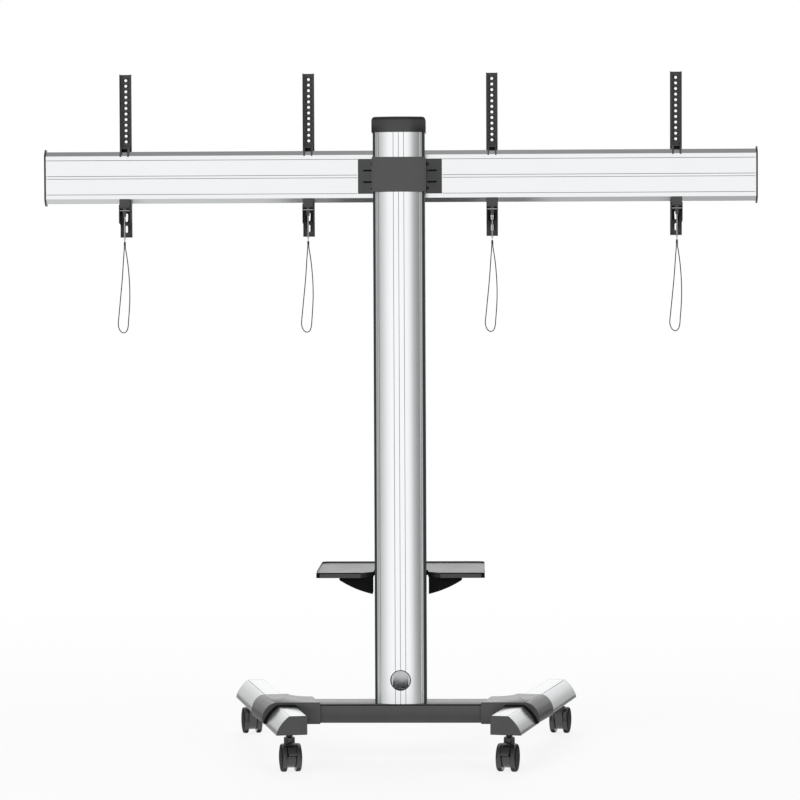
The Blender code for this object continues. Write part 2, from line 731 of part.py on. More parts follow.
def casting_mesh():
    """Corner casting of the right side.

    It is a box sleeve round the crossbar's end and a saddle over the leg, joined by a wide fillet.
    The sleeve's mouth runs parallel to the leg. The outer side swells from the near end to the far
    end.
    """
    near = FRONT - CASTING_WALL
    far = FRONT + CROSSBAR_DEPTH + CASTING_BACK_WALL
    bottom = CROSSBAR_BOTTOM - CASTING_FLOOR
    top = max(CROSSBAR_TOP, LEG_TOP) + CASTING_WALL
    inner = -LEG_WIDTH / 2 - CASTING_SIDE
    outer = LEG_WIDTH / 2 + CASTING_SIDE + CASTING_SWELL * 2
    end_station = leg_station(FRONT + CROSSBAR_DEPTH, 0) + CASTING_REACH
    fillet_station = leg_station(far, inner)
    mouth_far = CASTING_MOUTH + (far - near) * math.tan(LEG_SPLAY)
    inner_corner = along_leg(fillet_station, inner)
    half_angle = math.pi / 4 + LEG_SPLAY / 2
    room = min(end_station - fillet_station, inner_corner[0] - mouth_far) - 0.002
    fillet = min(CASTING_FILLET, room * math.tan(half_angle))
    plan = rounded([
        (CASTING_MOUTH, near, 0), (*along_leg(leg_station(near, outer), outer), 0),
        (*along_leg(end_station, outer), 0), (*along_leg(end_station, inner), 0.004),
        (*inner_corner, fillet), (mouth_far, far, 0),
    ], 8)
    body = extruded([plan], "XY", bottom, top)
    body = bevelled(body, 0.003, 2, lambda edge: edge_at(edge, 2, top))

    # The curved side, lofted from the near end to the far end
    place = Matrix.Translation((LEG_SPREAD, 0, 0)) @ Matrix.Rotation(-LEG_SPLAY, 4, "Z")
    margin = 0.03
    side = lofted([casting_side(0, 0, top, bottom),
                   casting_side(CASTING_SWELL, CASTING_CREASE_SHIFT, top, bottom)],
                  "XZ", [leg_station(near, outer) - margin, end_station + margin])

    # Room for the leg, open below
    reach = LEG_LENGTH / 2
    low = bottom - LEG_BOTTOM - 0.02
    grown = leg_outline(GAP)
    channel = [(grown[0][0], low), (grown[1][0], low)] + grown[1:]
    leg_room = moved(extruded([channel], "XZ", -reach, reach), Matrix.Translation((0, 0, LEG_BOTTOM)))

    # Socket for the crossbar
    socket = box(CASTING_MOUTH - 0.01, CROSSBAR_HALF + GAP, FRONT - GAP, FRONT + CROSSBAR_DEPTH + GAP,
                 CROSSBAR_BOTTOM - GAP, CROSSBAR_TOP + GAP)
    return cut(body, moved(side, place), moved(leg_room, place), socket)


def make_base(grey, dark_grey):
    piece("crossbar", crossbar_mesh(), dark_grey)
    right = casting_mesh()
    piece("corner_casting_left", mirrored(right), grey)
    piece("corner_casting_right", right, grey)


# Column

def crown(x):
    """How far the column's round front lies behind its foremost line."""
    return CROWN_RADIUS - math.sqrt(CROWN_RADIUS ** 2 - x * x)


def column_envelope(grow):
    """The column's outline with its side strips, seen from above, made larger all round."""
    radius = CROWN_RADIUS + grow
    half = COLUMN_HALF + grow
    back = COLUMN_DEPTH + grow
    corner = COLUMN_CORNER + max(grow, 0)
    edge = half - corner
    sweep = math.degrees(math.asin(edge / radius))
    front = arc((0, CROWN_RADIUS), radius, radius, -90, -90 + sweep, 7)
    turn = arc((edge, front[-1][1] + corner), corner, corner, -90 + sweep, 0, 3)
    rear = [(half, back - corner)] + arc((half - corner, back - corner), corner, corner, 0, 90, 3)[1:]
    half_outline = front + turn[1:] + rear
    return mirrored_outline(half_outline)


def tee_slot_half():
    """The rear edge of the column from its side to the middle, with its T-slot."""
    left = TEE_SLOT_OFFSET - TEE_MOUTH / 2
    right = TEE_SLOT_OFFSET + TEE_MOUTH / 2
    pocket_left = TEE_SLOT_OFFSET - TEE_POCKET_WIDTH / 2
    pocket_right = TEE_SLOT_OFFSET + TEE_POCKET_WIDTH / 2
    lip = COLUMN_DEPTH - TEE_LIP
    deep = lip - TEE_POCKET_DEPTH
    return [(right, COLUMN_DEPTH), (right, lip), (pocket_right, lip), (pocket_right, deep),
            (pocket_left, deep), (pocket_left, lip), (left, lip), (left, COLUMN_DEPTH)]


def column_outline():
    """The aluminium extrusion: round grooved front, keyed sides and T-slotted back."""
    half = EXTRUSION_HALF
    groove = FRONT_GROOVE_DEPTH
    places = [0, FRONT_GROOVE_SPACING] + [half - inset for inset in EDGE_GROOVE_INSETS]
    front = []
    steps = 12
    for step in range(steps + 1):
        x = half * step / steps
        if all(abs(x - place) > groove for place in places):
            front.append((x, crown(x)))
    for place in places:
        for shift, sink in ((-groove, 0), (0, groove), (groove, 0)):
            x = place + shift
            if x >= 0:
                front.append((x, crown(x) + sink))
    front.sort()
    middle = COLUMN_DEPTH / 2
    key = SIDE_KEY_WIDTH / 2
    deep = half - SIDE_KEY_DEPTH
    side = [(half, middle - key), (deep, middle - key), (deep, middle + key), (half, middle + key)]
    corner = arc((half - 0.003, COLUMN_DEPTH - 0.003), 0.003, 0.003, 0, 90, 3)
    return mirrored_outline(front + side + corner + tee_slot_half())


def column_chambers():
    """The cable duct in the middle and the hollow on either side of it."""
    duct = DUCT_WIDTH / 2
    wall = COLUMN_WALL
    rear = COLUMN_DEPTH - wall
    centre = [(-duct, crown(duct) + wall), (0, wall + FRONT_GROOVE_DEPTH + 0.001), (duct, crown(duct) + wall),
              (duct, rear), (-duct, rear)]
    inner = duct + COLUMN_RIB
    outer = EXTRUSION_HALF - SIDE_KEY_DEPTH - wall
    mid = (inner + outer) / 2
    pocket = COLUMN_DEPTH - TEE_LIP - TEE_POCKET_DEPTH - wall
    right = [(inner, crown(inner) + wall), (mid, crown(mid) + wall), (outer, crown(outer) + wall * 1.2),
             (outer, pocket), (inner, pocket)]
    left = [(-x, y) for x, y in reversed(right)]
    return [centre, left, right]


def column_mesh():
    body = extruded([column_outline()] + column_chambers(), "XY", COLUMN_BOTTOM, COLUMN_TOP)
    body = moved(body, Matrix.Translation((0, FRONT, 0)))
    port = cylinder((0, COLUMN_BOTTOM + PORT_LIFT), "Y", PORT_DIAMETER / 2, FRONT - 0.02,
                    FRONT + PORT_SLEEVE, 32)
    return cut(body, port)


def side_strip_mesh():
    """Right side strip: a plate with a rounded front edge and a key in the column's side."""
    inner = EXTRUSION_HALF + GAP
    outer = COLUMN_HALF
    edge = outer - COLUMN_CORNER
    middle = COLUMN_DEPTH / 2
    key = SIDE_KEY_WIDTH / 2 - GAP
    deep = EXTRUSION_HALF - SIDE_KEY_DEPTH + GAP
    nose = arc((edge, crown(edge) + COLUMN_CORNER), COLUMN_CORNER, COLUMN_CORNER, -60, 0, 3)
    back = arc((outer - 0.003, COLUMN_DEPTH - 0.003), 0.003, 0.003, 0, 90, 3)
    plan = [(inner, crown(inner))] + nose + back
    plan += [(inner, COLUMN_DEPTH), (inner, middle + key), (deep, middle + key), (deep, middle - key),
             (inner, middle - key)]
    body = extruded([plan], "XY", COLUMN_BOTTOM, COLUMN_TOP)
    return moved(body, Matrix.Translation((0, FRONT, 0)))


def cap_mesh():
    """Moulded cap with a rounded top edge, hollow below where the column enters it."""
    low = COLUMN_TOP - CAP_OVERLAP
    high = low + CAP_HEIGHT
    steps = 3
    outlines = [column_envelope(CAP_OVERHANG)]
    levels = [low]
    for step in range(steps + 1):
        angle = math.pi / 2 * step / steps
        outlines.append(column_envelope(CAP_OVERHANG - CAP_ROUNDING * (1 - math.cos(angle))))
        levels.append(high - CAP_ROUNDING * (1 - math.sin(angle)))
    body = lofted(outlines, "XY", levels)
    recess = extruded([column_envelope(CAP_CLEARANCE)], "XY", low - 0.01, COLUMN_TOP + GAP)
    return moved(cut(body, recess), Matrix.Translation((0, FRONT, 0)))


def grommet_mesh():
    """Ring that lines the cable port."""
    outer = PORT_DIAMETER / 2 - GAP
    inner = outer - PORT_RIM
    proud = 0.0015
    deep = PORT_SLEEVE - GAP
    profile = [(inner, -proud + 0.001), (inner + 0.001, -proud), (outer - 0.001, -proud),
               (outer, -proud + 0.001), (outer, deep), (inner, deep)]
    ring = revolved(profile, 32, closed=True)
    turn = Matrix.Rotation(math.radians(-90), 4, "X")
    return moved(ring, Matrix.Translation((0, FRONT, COLUMN_BOTTOM + PORT_LIFT)) @ turn)


def foot_mesh():
    """Tube on the crossbar that the column's duct slides over."""
    half = DUCT_WIDTH / 2 - GAP
    near = crown(DUCT_WIDTH / 2) + COLUMN_WALL + 0.004
    far = COLUMN_DEPTH - COLUMN_WALL - GAP
    wall = 0.004
    outer = rectangle(-half, half, near, far)
    inner = rectangle(-half + wall, half - wall, near + wall, far - wall)
    body = extruded([outer, inner], "XY", COLUMN_BOTTOM, COLUMN_BOTTOM + FOOT_HEIGHT)
    return moved(body, Matrix.Translation((0, FRONT, 0)))


def make_column(aluminium, strip_black, plastic, steel):
    piece("column", column_mesh(), aluminium)
    right = side_strip_mesh()
    piece("column_side_strip_left", mirrored(right), strip_black)
    piece("column_side_strip_right", right, strip_black)
    piece("column_cap", cap_mesh(), plastic)
    piece("cable_port_grommet", grommet_mesh(), plastic)
    piece("column_foot", foot_mesh(), steel)


# Horizontal bar. Its meshes are centred on the bar's height, and y = 0 is its rear face.

def bar_outline(grow=0.0, plain=False):
    """Section of the bar: chamfers on the rear edges and fine lines along the rear face."""
    half = BAR_HEIGHT / 2 + grow
    chamfer = BAR_CHAMFER + grow * (2 - math.sqrt(2))
    near = -grow
    far = BAR_DEPTH + grow
    corner = 0.002 + grow / 2
    rear = []
    if not plain:
        line = BAR_GROOVE_DEPTH
        band = BAR_CENTRE_BAND / 2
        for place in (BAR_GROOVE_OFFSET, 0, -BAR_GROOVE_OFFSET):
            if place == 0:
                deep = BAR_CENTRE_BAND_DEPTH
                rear += [(0, band), (deep, band), (deep, -band), (0, -band)]
            else:
                rear += [(0, place + line), (line, place), (0, place - line)]
    corners = [(near, half - chamfer, 0)] + [(y, z, 0) for y, z in rear]
    corners += [(near, chamfer - half, 0), (near + chamfer, -half, 0), (far, -half, corner),
                (far, half, corner), (near + chamfer, half, 0)]
    return rounded(corners, 3)


def bar_chambers(shrink=0.0):
    """The three hollows of the bar, from the top down."""
    wall = BAR_WALL + shrink
    half = BAR_HEIGHT / 2
    rib = BAR_HEIGHT / 6
    step = wall * (math.sqrt(2) - 1)
    top = [(wall, rib + wall / 2), (BAR_DEPTH - wall, rib + wall / 2), (BAR_DEPTH - wall, half - wall),
           (BAR_CHAMFER + step, half - wall), (wall, half - BAR_CHAMFER - step)]
    near = BAR_CENTRE_BAND_DEPTH + wall
    middle = rectangle(near, BAR_DEPTH - wall, -rib + wall / 2, rib - wall / 2)
    bottom = [(y, -z) for y, z in reversed(top)]
    return [top, middle, bottom]


def bar_mesh():
    return extruded([bar_outline()] + bar_chambers(), "YZ", -BAR_LENGTH / 2, BAR_LENGTH / 2)


def bar_cap_mesh():
    """Right end cap: a plate with a lip all round and plugs in the bar's hollows."""
    start = BAR_LENGTH / 2 + GAP
    end = start + BAR_CAP_THICKNESS
    plate = extruded([bar_outline(BAR_CAP_LIP, plain=True)], "YZ", start, end)
    plate = bevelled(plate, 0.0012, 1, lambda edge: edge_at(edge, 0, end))
    plugs = [extruded([loop], "YZ", start - BAR_CAP_PLUG, start + 0.001) for loop in bar_chambers(GAP)]
    return united(plate, *plugs)


def clamp_mesh():
    """Hat-shaped clamp, folded from one sheet, from below."""
    sheet = CLAMP_SHEET
    inner = COLUMN_HALF + HOOK_CLEARANCE
    outer = inner + sheet
    front = FRONT - GAP - sheet - BAR_REAR
    wing = -GAP
    end = CLAMP_WIDTH / 2
    bend = 0.0015
    plan = rounded([
        (-end, wing, 0), (-inner, wing, bend), (-inner, front + sheet, bend), (inner, front + sheet, bend),
        (inner, wing, bend), (end, wing, 0), (end, wing - sheet, 0), (outer, wing - sheet, bend + sheet),
        (outer, front, bend + sheet), (-outer, front, bend + sheet), (-outer, wing - sheet, bend + sheet),
        (-end, wing - sheet, 0),
    ], 2)
    half = CLAMP_HEIGHT / 2
    body = extruded([plan], "XY", -half, half)
    slots = []
    for side in (-1, 1):
        for level in (-1, 1):
            height = level * CLAMP_SLOT_SPACING / 2
            first = outer + bend + sheet + CLAMP_SLOT_HEIGHT / 2
            slots.append(slot_cutter(side * first, side * (CLAMP_SLOT_END - CLAMP_SLOT_HEIGHT / 2), height,
                                     CLAMP_SLOT_HEIGHT, wing - sheet - 0.003, wing + 0.003))
    key_half = BAR_CENTRE_BAND / 2 - GAP
    keys = []
    for side in (-1, 1):
        low, high = sorted((side * end, side * (end - CLAMP_KEY_WIDTH)))
        keys.append(box(low, high, wing - sheet / 2, BAR_CENTRE_BAND_DEPTH - GAP, -key_half, key_half))
    return united(cut(body, joined(slots)), joined(keys))


def slot_cutter(left, right, height, width, start, end):
    """Cutter for a slot with round ends that runs along X, through a plate across Y."""
    low, high = sorted((left, right))
    radius = width / 2
    outline = arc((high, height), radius, radius, -90, 90, 6) + arc((low, height), radius, radius, 90, 270, 6)
    return extruded([outline], "XZ", start, end)


def tee_key_plan(start, back):
    """Plan of one key that runs in a T-slot of the column, from its head to the plate that holds it."""
    neck = TEE_MOUTH / 2 - GAP
    head = TEE_POCKET_WIDTH / 2 - GAP
    lip = start - TEE_LIP - GAP
    top = lip - TEE_POCKET_DEPTH + 3 * GAP
    return [(-neck, back), (-neck, lip), (-head, lip), (-head, top), (head, top), (head, lip),
            (neck, lip), (neck, back)]


def saddle_mesh():
    """Box section between the column's back and the bar, keyed into the column's T-slots."""
    half = SADDLE_WIDTH / 2
    near = COLUMN_BACK + GAP - BAR_REAR
    far = -GAP
    wall = SADDLE_WALL
    outer = rounded([(-half, near, 0.002), (half, near, 0.002), (half, far, 0.002), (-half, far, 0.002)], 2)
    left = rectangle(-half + wall, -wall / 2, near + wall, far - wall)
    right = rectangle(wall / 2, half - wall, near + wall, far - wall)
    height = CLAMP_HEIGHT / 2
    body = extruded([outer, left, right], "XY", -height, height)
    back = near - GAP
    keys = []
    for side in (-1, 1):
        key = extruded([tee_key_plan(back, near + wall / 2)], "XY", -height, height)
        keys.append(moved(key, Matrix.Translation((side * TEE_SLOT_OFFSET, 0, 0))))
    return united(body, *keys)


def make_bar(aluminium, plastic, dark_grey, steel):
    carriage = pivot("bar_carriage", (0, BAR_REAR, BAR_CENTRE_HEIGHT))
    piece("bar", bar_mesh(), aluminium, carriage)
    right = bar_cap_mesh()
    piece("bar_cap_left", mirrored(right), plastic, carriage)
    piece("bar_cap_right", right, plastic, carriage)
    piece("column_clamp", clamp_mesh(), dark_grey, carriage)
    piece("column_saddle", saddle_mesh(), steel, carriage)


# Display strips. Their meshes stand in place along Y and Z, and x = 0 is the strip's middle.

def hook_outline():
    """Side view of a hook prong: over the bar's top and down its rear chamfer."""
    clear = HOOK_CLEARANCE
    diagonal = clear * (math.sqrt(2) - 1)
    web = STRIP_BACK - STRIP_SHEET / 2
    top = BAR_TOP + clear
    tip = BAR_TOP - HOOK_DROP
    high = BAR_TOP + HOOK_RISE
    rear = BAR_REAR - clear
    front = rear - HOOK_THICKNESS
    shoulder = BAR_REAR + BAR_CHAMFER - diagonal
    chamfer = 0.002
    return [
        (web, top), (shoulder, top), (rear, BAR_TOP - BAR_CHAMFER + diagonal), (rear, tip + chamfer),
        (rear - chamfer, tip), (front + chamfer, tip), (front, tip + chamfer),
        (front, BAR_TOP - BAR_CHAMFER + HOOK_THICKNESS), (shoulder - 0.008, high - 0.004),
        (shoulder - 0.003, high), (web, high),
    ]


def flange_outline():
    """Side view of a strip's folded flange, with the skirt under the bar and the shallow tail."""
    back = STRIP_BACK
    skirt = LATCH_FRONT + LATCH_SHEET
    tail = STRIP_BACK - STRIP_TAIL_DEPTH
    under = BAR_BOTTOM - 0.0015
    return [
        (back, STRIP_BOTTOM), (back, STRIP_TOP), (STRIP_FRONT, STRIP_TOP), (STRIP_FRONT, under),
        (skirt + 0.003, under), (skirt, under - 0.003), (skirt, BAR_BOTTOM - SKIRT_DROP),
        (tail, BAR_BOTTOM - SKIRT_DROP - SKIRT_CHAMFER), (tail, STRIP_BOTTOM),
    ]


def hole_heights():
    """Heights of the round holes, from the top down to the hook."""
    heights = []
    height = STRIP_TOP - HOLE_FROM_TOP
    while height > BAR_TOP + HOOK_RISE + HOLE_DIAMETER:
        heights.append(height)
        height -= HOLE_PITCH
    return heights


def slot_outline(low, high, head):
    """An upright slot with a round foot and a round head, which may be wider than the slot."""
    radius = TAIL_SLOT_WIDTH / 2
    shoulder = math.degrees(math.acos(min(radius / head, 1)))
    top = arc((0, high - head), head, head, -shoulder, 180 + shoulder, 9)
    return top + arc((0, low + radius), radius, radius, 180, 360, 6)


def strip_mesh():
    """A folded channel with its holes and slots, the hook welded into it and the guide pin."""
    half = STRIP_WIDTH / 2
    sheet = STRIP_SHEET
    body = extruded([flange_outline()], "YZ", -half, half)
    inside_half = half - sheet
    inside = box(-inside_half, inside_half, LATCH_FRONT - 0.02, STRIP_BACK - sheet,
                 STRIP_BOTTOM - 0.01, STRIP_TOP + 0.01)
    through = (STRIP_BACK - sheet * 2, STRIP_BACK + 0.005)
    openings = [cylinder((0, height), "Y", HOLE_DIAMETER / 2, *through, 10) for height in hole_heights()]
    heads = (KEYHOLE_DIAMETER / 2, TAIL_SLOT_WIDTH / 2)
    for length, rise, head in zip(TAIL_SLOT_LENGTHS, TAIL_SLOT_RISES, heads):
        low = STRIP_BOTTOM + rise
        openings.append(extruded([slot_outline(low, low + length, head)], "XZ", *through))

    prongs = []
    for side in (-1, 1):
        start = side * HOOK_SPACING / 2 - HOOK_THICKNESS / 2
        prongs.append(extruded([hook_outline()], "YZ", start, start + HOOK_THICKNESS))
    bridge_low = BAR_TOP + HOOK_CLEARANCE + 0.003
    bridge = box(-HOOK_SPACING / 2, HOOK_SPACING / 2, BAR_REAR + BAR_CHAMFER - 0.002,
                 STRIP_BACK - sheet / 2, bridge_low + 0.008, bridge_low + 0.012)
    block_bottom = BAR_BOTTOM - HOOK_CLEARANCE - LATCH_BLOCK_HEIGHT
    pin_height = block_bottom - LATCH_TRAVEL - GUIDE_PIN_GAP - GUIDE_PIN_DIAMETER / 2
    pin = cylinder((BAR_REAR + BAR_CHAMFER, pin_height), "X", GUIDE_PIN_DIAMETER / 2,
                   -half + sheet / 2, half - sheet / 2, 12)
    folded = united(cut(body, inside), joined(prongs + [pin]), bridge)
    return cut(folded, joined(openings))


def latch_mesh():
    """Latch that grips the bar's lower chamfer, with its tongue, pull wire and ring."""
    half = STRIP_WIDTH / 2 - STRIP_SHEET - LATCH_SIDE_GAP
    front = LATCH_FRONT
    rear = front + LATCH_SHEET
    top = BAR_BOTTOM + LATCH_RISE
    low = BAR_BOTTOM - LATCH_DROP
    back = STRIP_BACK - STRIP_SHEET - LATCH_SIDE_GAP
    block_top = BAR_BOTTOM - HOOK_CLEARANCE
    block_bottom = block_top - LATCH_BLOCK_HEIGHT
    chamfer_foot = BAR_REAR + BAR_CHAMFER - HOOK_CLEARANCE * (math.sqrt(2) - 1)

    # The wedge follows the bar's chamfer up to the latch's top or to its front plate
    wedge_top = min(top, block_top + chamfer_foot - rear)
    nose = chamfer_foot - (wedge_top - block_top)
    side = [(front + 0.001, top), (nose, top)]
    if wedge_top < top:
        side.append((nose, wedge_top))
    side += [(chamfer_foot, block_top), (back, block_top), (back, block_bottom),
             (rear + 0.004, block_bottom), (rear, block_bottom - 0.004), (rear, low + LATCH_CURL)]
    curl = (rear + LATCH_CURL, low + LATCH_CURL)
    outer = LATCH_CURL + LATCH_SHEET
    side += arc(curl, LATCH_CURL, LATCH_CURL, 180, 250, 4)[1:] + arc(curl, outer, outer, 250, 180, 4)
    side.append((front, top - 0.001))
    body = extruded([side], "YZ", -half, half)

    tongue_half = LATCH_TONGUE_WIDTH / 2
    tongue = box(-tongue_half, tongue_half, WIRE_Y - LATCH_TONGUE_THICKNESS / 2,
                 WIRE_Y + LATCH_TONGUE_THICKNESS / 2, WIRE_TOP, block_bottom + 0.002)
    wire = cylinder((0, WIRE_Y), "Z", WIRE_DIAMETER / 2, WIRE_BOTTOM, WIRE_TOP + 0.006, 12)
    place = Matrix.Translation((0, WIRE_Y, RING_CENTRE))
    ring = torus(RING_DIAMETER / 2, RING_WIRE / 2, 12, 6)
    ring = moved(ring, place @ Matrix.Rotation(math.radians(90), 4, "X"))
    return united(body, tongue, wire, ring)


def torus(radius, thickness, steps, sides):
    """A ring of round wire about Z. The radius is that of its outer edge."""
    centre = radius - thickness
    profile = [(centre + u, v) for u, v in circle((0, 0), thickness, sides)]
    return revolved(profile, steps, closed=True)


def ferrule_mesh():
    """Crimped sleeve with an eye that hangs in the latch's ring."""
    radius = FERRULE_DIAMETER / 2
    top = FERRULE_TOP
    low = FERRULE_BOTTOM
    shoulder = 0.0015
    profile = [(0, top), (radius - shoulder, top), (radius, top - shoulder), (radius, low), (0, low)]
    sleeve = moved(revolved(profile, 12), Matrix.Translation((0, WIRE_Y, 0)))
    eye = torus(EYE_DIAMETER / 2, RING_WIRE / 2, 12, 6)
    place = Matrix.Translation((0, WIRE_Y, EYE_CENTRE))
    eye = moved(eye, place @ Matrix.Rotation(math.radians(90), 4, "Y"))
    return united(sleeve, eye)


def cord_points():
    """Points of one smooth curve through the cord's route, evenly spaced along it."""
    route = [Vector((u, WIRE_Y, FERRULE_BOTTOM - v)) for u, v in CORD_ROUTE]
    dense = []
    for index in range(len(route) - 1):
        before = route[max(index - 1, 0)]
        after = route[min(index + 2, len(route) - 1)]
        start = route[index]
        end = route[index + 1]
        for step in range(24):
            t = step / 24
            dense.append(0.5 * (2 * start + (end - before) * t
                                + (2 * before - 5 * start + 4 * end - after) * t ** 2
                                + (3 * start - before - 3 * end + after) * t ** 3))
    dense.append(route[-1])
    lengths = [0.0]
    for first, second in zip(dense, dense[1:]):
        lengths.append(lengths[-1] + (second - first).length)
    count = CORD_POINTS - 1
    points = []
    cursor = 0
    for number in range(count + 1):
        target = lengths[-1] * number / count
        while cursor < len(lengths) - 2 and lengths[cursor + 1] < target:
            cursor += 1
        span = lengths[cursor + 1] - lengths[cursor]
        points.append(dense[cursor].lerp(dense[cursor + 1], (target - lengths[cursor]) / span))
    return points


def make_cord(name, finish, parent):
    """The pull cord, a round tube along its route."""
    curve = bpy.data.curves.new(name, "CURVE")
    curve.dimensions = "3D"
    curve.bevel_depth = CORD_DIAMETER / 2
    curve.bevel_resolution = 2
    curve.use_fill_caps = True
    points = cord_points()
    spline = curve.splines.new("POLY")
    spline.points.add(len(points) - 1)
    for target, point in zip(spline.points, points):
        target.co = (*point, 1.0)
    curve.materials.append(finish)
    made = bpy.data.objects.new(name, curve)
    made.parent = parent
    bpy.context.scene.collection.objects.link(made)


def make_strips(black, steel, plastic, cord_black):
    strip = strip_mesh()
    latch = latch_mesh()
    ferrule = ferrule_mesh()
    for index, name in enumerate(STRIP_NAMES):
        runner = pivot(f"strip_{name}_runner", ((index - 1.5) * STRIP_SPACING, 0, 0))
        piece(f"strip_{name}", strip.copy(), black, runner)
        piece(f"latch_{name}", latch.copy(), steel, runner)
        piece(f"ferrule_{name}", ferrule.copy(), plastic, runner)
        make_cord(f"pull_cord_{name}", cord_black, runner)


# Shelf. Its meshes hang from z = 0, the top of the tray.

def tray_outline(inset):
    """Plan of the tray round the column, made smaller all round by a wall."""
    half = SHELF_WIDTH / 2 - inset
    near = SHELF_NEAR + inset
    far = SHELF_FAR - inset
    notch = NOTCH_HALF + inset
    mouth = notch + NOTCH_FLARE
    back = COLUMN_BACK + BRACKET_PLATE + NOTCH_CLEARANCE + inset
    corner = SHELF_CORNER - inset
    right = [(half, near, 0.004), (half, far, corner)]
    left = [(-half, far, corner), (-half, near, 0.004)]
    cutout = [(-mouth, near, 0.006), (-notch, near + NOTCH_FLARE, 0.006), (-notch, back, 0.004),
              (notch, back, 0.004), (notch, near + NOTCH_FLARE, 0.006), (mouth, near, 0.006)]
    return rounded(left + cutout + right, 3)


def tray_mesh():
    """Tray with a folded lip all round, open behind the column, and a bead on three sides."""
    sheet = SHELF_SHEET
    body = extruded([tray_outline(0)], "XY", -SHELF_LIP, 0)
    hollow = extruded([tray_outline(sheet)], "XY", -SHELF_LIP - 0.01, -sheet)
    back = COLUMN_BACK + BRACKET_PLATE + NOTCH_CLEARANCE
    passage = box(-BRACKET_WIDTH / 2 - 0.004, BRACKET_WIDTH / 2 + 0.004, back - 0.005, back + 0.01,
                  -SHELF_LIP - 0.01, -sheet)
    half = SHELF_WIDTH / 2
    far = SHELF_FAR
    start = SHELF_NEAR + NOTCH_FLARE
    corner = SHELF_CORNER
    bead = rounded([
        (half, start, 0), (half, far, corner), (-half, far, corner), (-half, start, 0),
        (-half + sheet, start, 0), (-half + sheet, far - sheet, corner - sheet),
        (half - sheet, far - sheet, corner - sheet), (half - sheet, start, 0),
    ], 3)
    rim = extruded([bead], "XY", -sheet / 2, SHELF_BEAD)
    return united(cut(body, hollow, passage), rim)


def gusset_mesh():
    """Right gusset: a moulded scoop under the tray beside the column, open at the back."""
    inner = COLUMN_HALF + NOTCH_CLEARANCE + SHELF_SHEET + 0.0005
    outer = inner + GUSSET_SPAN
    top = -SHELF_LIP - GAP
    low = top - GUSSET_DROP
    tip = top - GUSSET_TIP

    def scoop(wall):
        chord = Vector((outer - inner, tip - low))
        normal = Vector((chord.y, -chord.x)).normalized()
        curve = []
        for step in range(9):
            t = step / 8
            bulge = 4 * GUSSET_SAG * t * (1 - t) - wall
            point = Vector((inner, low)) + chord * t + normal * bulge
            curve.append((min(max(point.x, inner + wall), outer - wall), point.y))
        return [(inner + wall, top - wall)] + curve + [(outer - wall, top - wall)]

    near = SHELF_NEAR + NOTCH_FLARE * 0.5
    far = near + GUSSET_DEPTH
    body = extruded([scoop(0)], "XZ", near, far)
    hollow = extruded([scoop(GUSSET_WALL)], "XZ", near + GUSSET_WALL, far + 0.01)
    boss = box(inner + 0.012, outer - 0.012, far - GUSSET_BOSS, far, top - GUSSET_WALL / 2,
               -SHELF_SHEET - GAP)
    return united(cut(body, hollow), boss)


def bracket_mesh():
    """Shelf bracket behind the column: wall plate with T-slot keys, table and two ribs."""
    half = BRACKET_WIDTH / 2
    table_top = -SHELF_SHEET - GAP
    table_low = table_top - BRACKET_PLATE
    near = COLUMN_BACK + GAP
    low = -BRACKET_DROP
    wall = box(-half, half, near, near + BRACKET_PLATE, low, table_top)
    table = box(-half, half, near, near + BRACKET_REACH, table_low, table_top)
    overlap = 0.001
    rib_end = near + BRACKET_REACH - 0.004
    rib_plan = [(near + overlap, low + 0.006), (near + 0.012, low + 0.006), (rib_end, table_low - 0.008),
                (rib_end, table_low + overlap), (near + overlap, table_low + overlap)]
    key_plan = tee_key_plan(near - GAP, near + BRACKET_PLATE / 2)
    ribs = []
    keys = []
    for side in (-1, 1):
        place = side * (half - 0.012)
        ribs.append(extruded([rib_plan], "YZ", place - BRACKET_RIB / 2, place + BRACKET_RIB / 2))
        key = extruded([key_plan], "XY", low + 0.01, table_low - 0.01)
        keys.append(moved(key, Matrix.Translation((side * TEE_SLOT_OFFSET, 0, 0))))
    return united(wall, table, *ribs, *keys)


def make_shelf(grey, black, steel):
    carriage = pivot("shelf_carriage", (0, 0, SHELF_HEIGHT))
    piece("shelf_tray", tray_mesh(), grey, carriage)
    right = gusset_mesh()
    piece("shelf_gusset_left", mirrored(right), black, carriage)
    piece("shelf_gusset_right", right, black, carriage)
    piece("shelf_bracket", bracket_mesh(), steel, carriage)


def main():
    for item in list(bpy.data.objects):
        bpy.data.objects.remove(item)
    aluminium = material("anodised_aluminium", "E4E7E9", 0.32, 1.0)
    strip_black = material("side_strip_plastic", "35383A", 0.45)
    plastic = material("black_plastic", "141515", 0.42)
    grey = material("grey_casting", "4A4A4A", 0.35)
    dark_grey = material("dark_grey_paint", "535353", 0.5)
    strip_paint = material("strip_paint", "474747", 0.5)
    leg_cap = material("leg_cap_plastic", "565656", 0.5)
    castor_black = material("castor_nylon", "1A1A1A", 0.4)
    tread = material("castor_tread", "1E1E1E", 0.6)
    steel = material("zinc_plated_steel", "B9BBBD", 0.3, 1.0)
    cord_black = material("cord_sheath", "333333", 0.7)
    shelf_grey = material("shelf_paint", "6A6A6A", 0.5)
    make_base(grey, dark_grey)
    make_legs(aluminium, leg_cap)
    make_castors(castor_black, tread, steel)
    make_column(aluminium, strip_black, plastic, steel)
    make_bar(aluminium, plastic, dark_grey, steel)
    make_strips(strip_paint, strip_paint, plastic, cord_black)
    make_shelf(shelf_grey, plastic, strip_paint)


main()
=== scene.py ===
"""Looks of a mobile stand for a video wall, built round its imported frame.

Metres, +Z up. X runs along the bar, and +Y points to the side that the displays face.
"""
import functools
import math

import bmesh
import bpy
from mathutils import Matrix, Vector
from mathutils.bvhtree import BVHTree


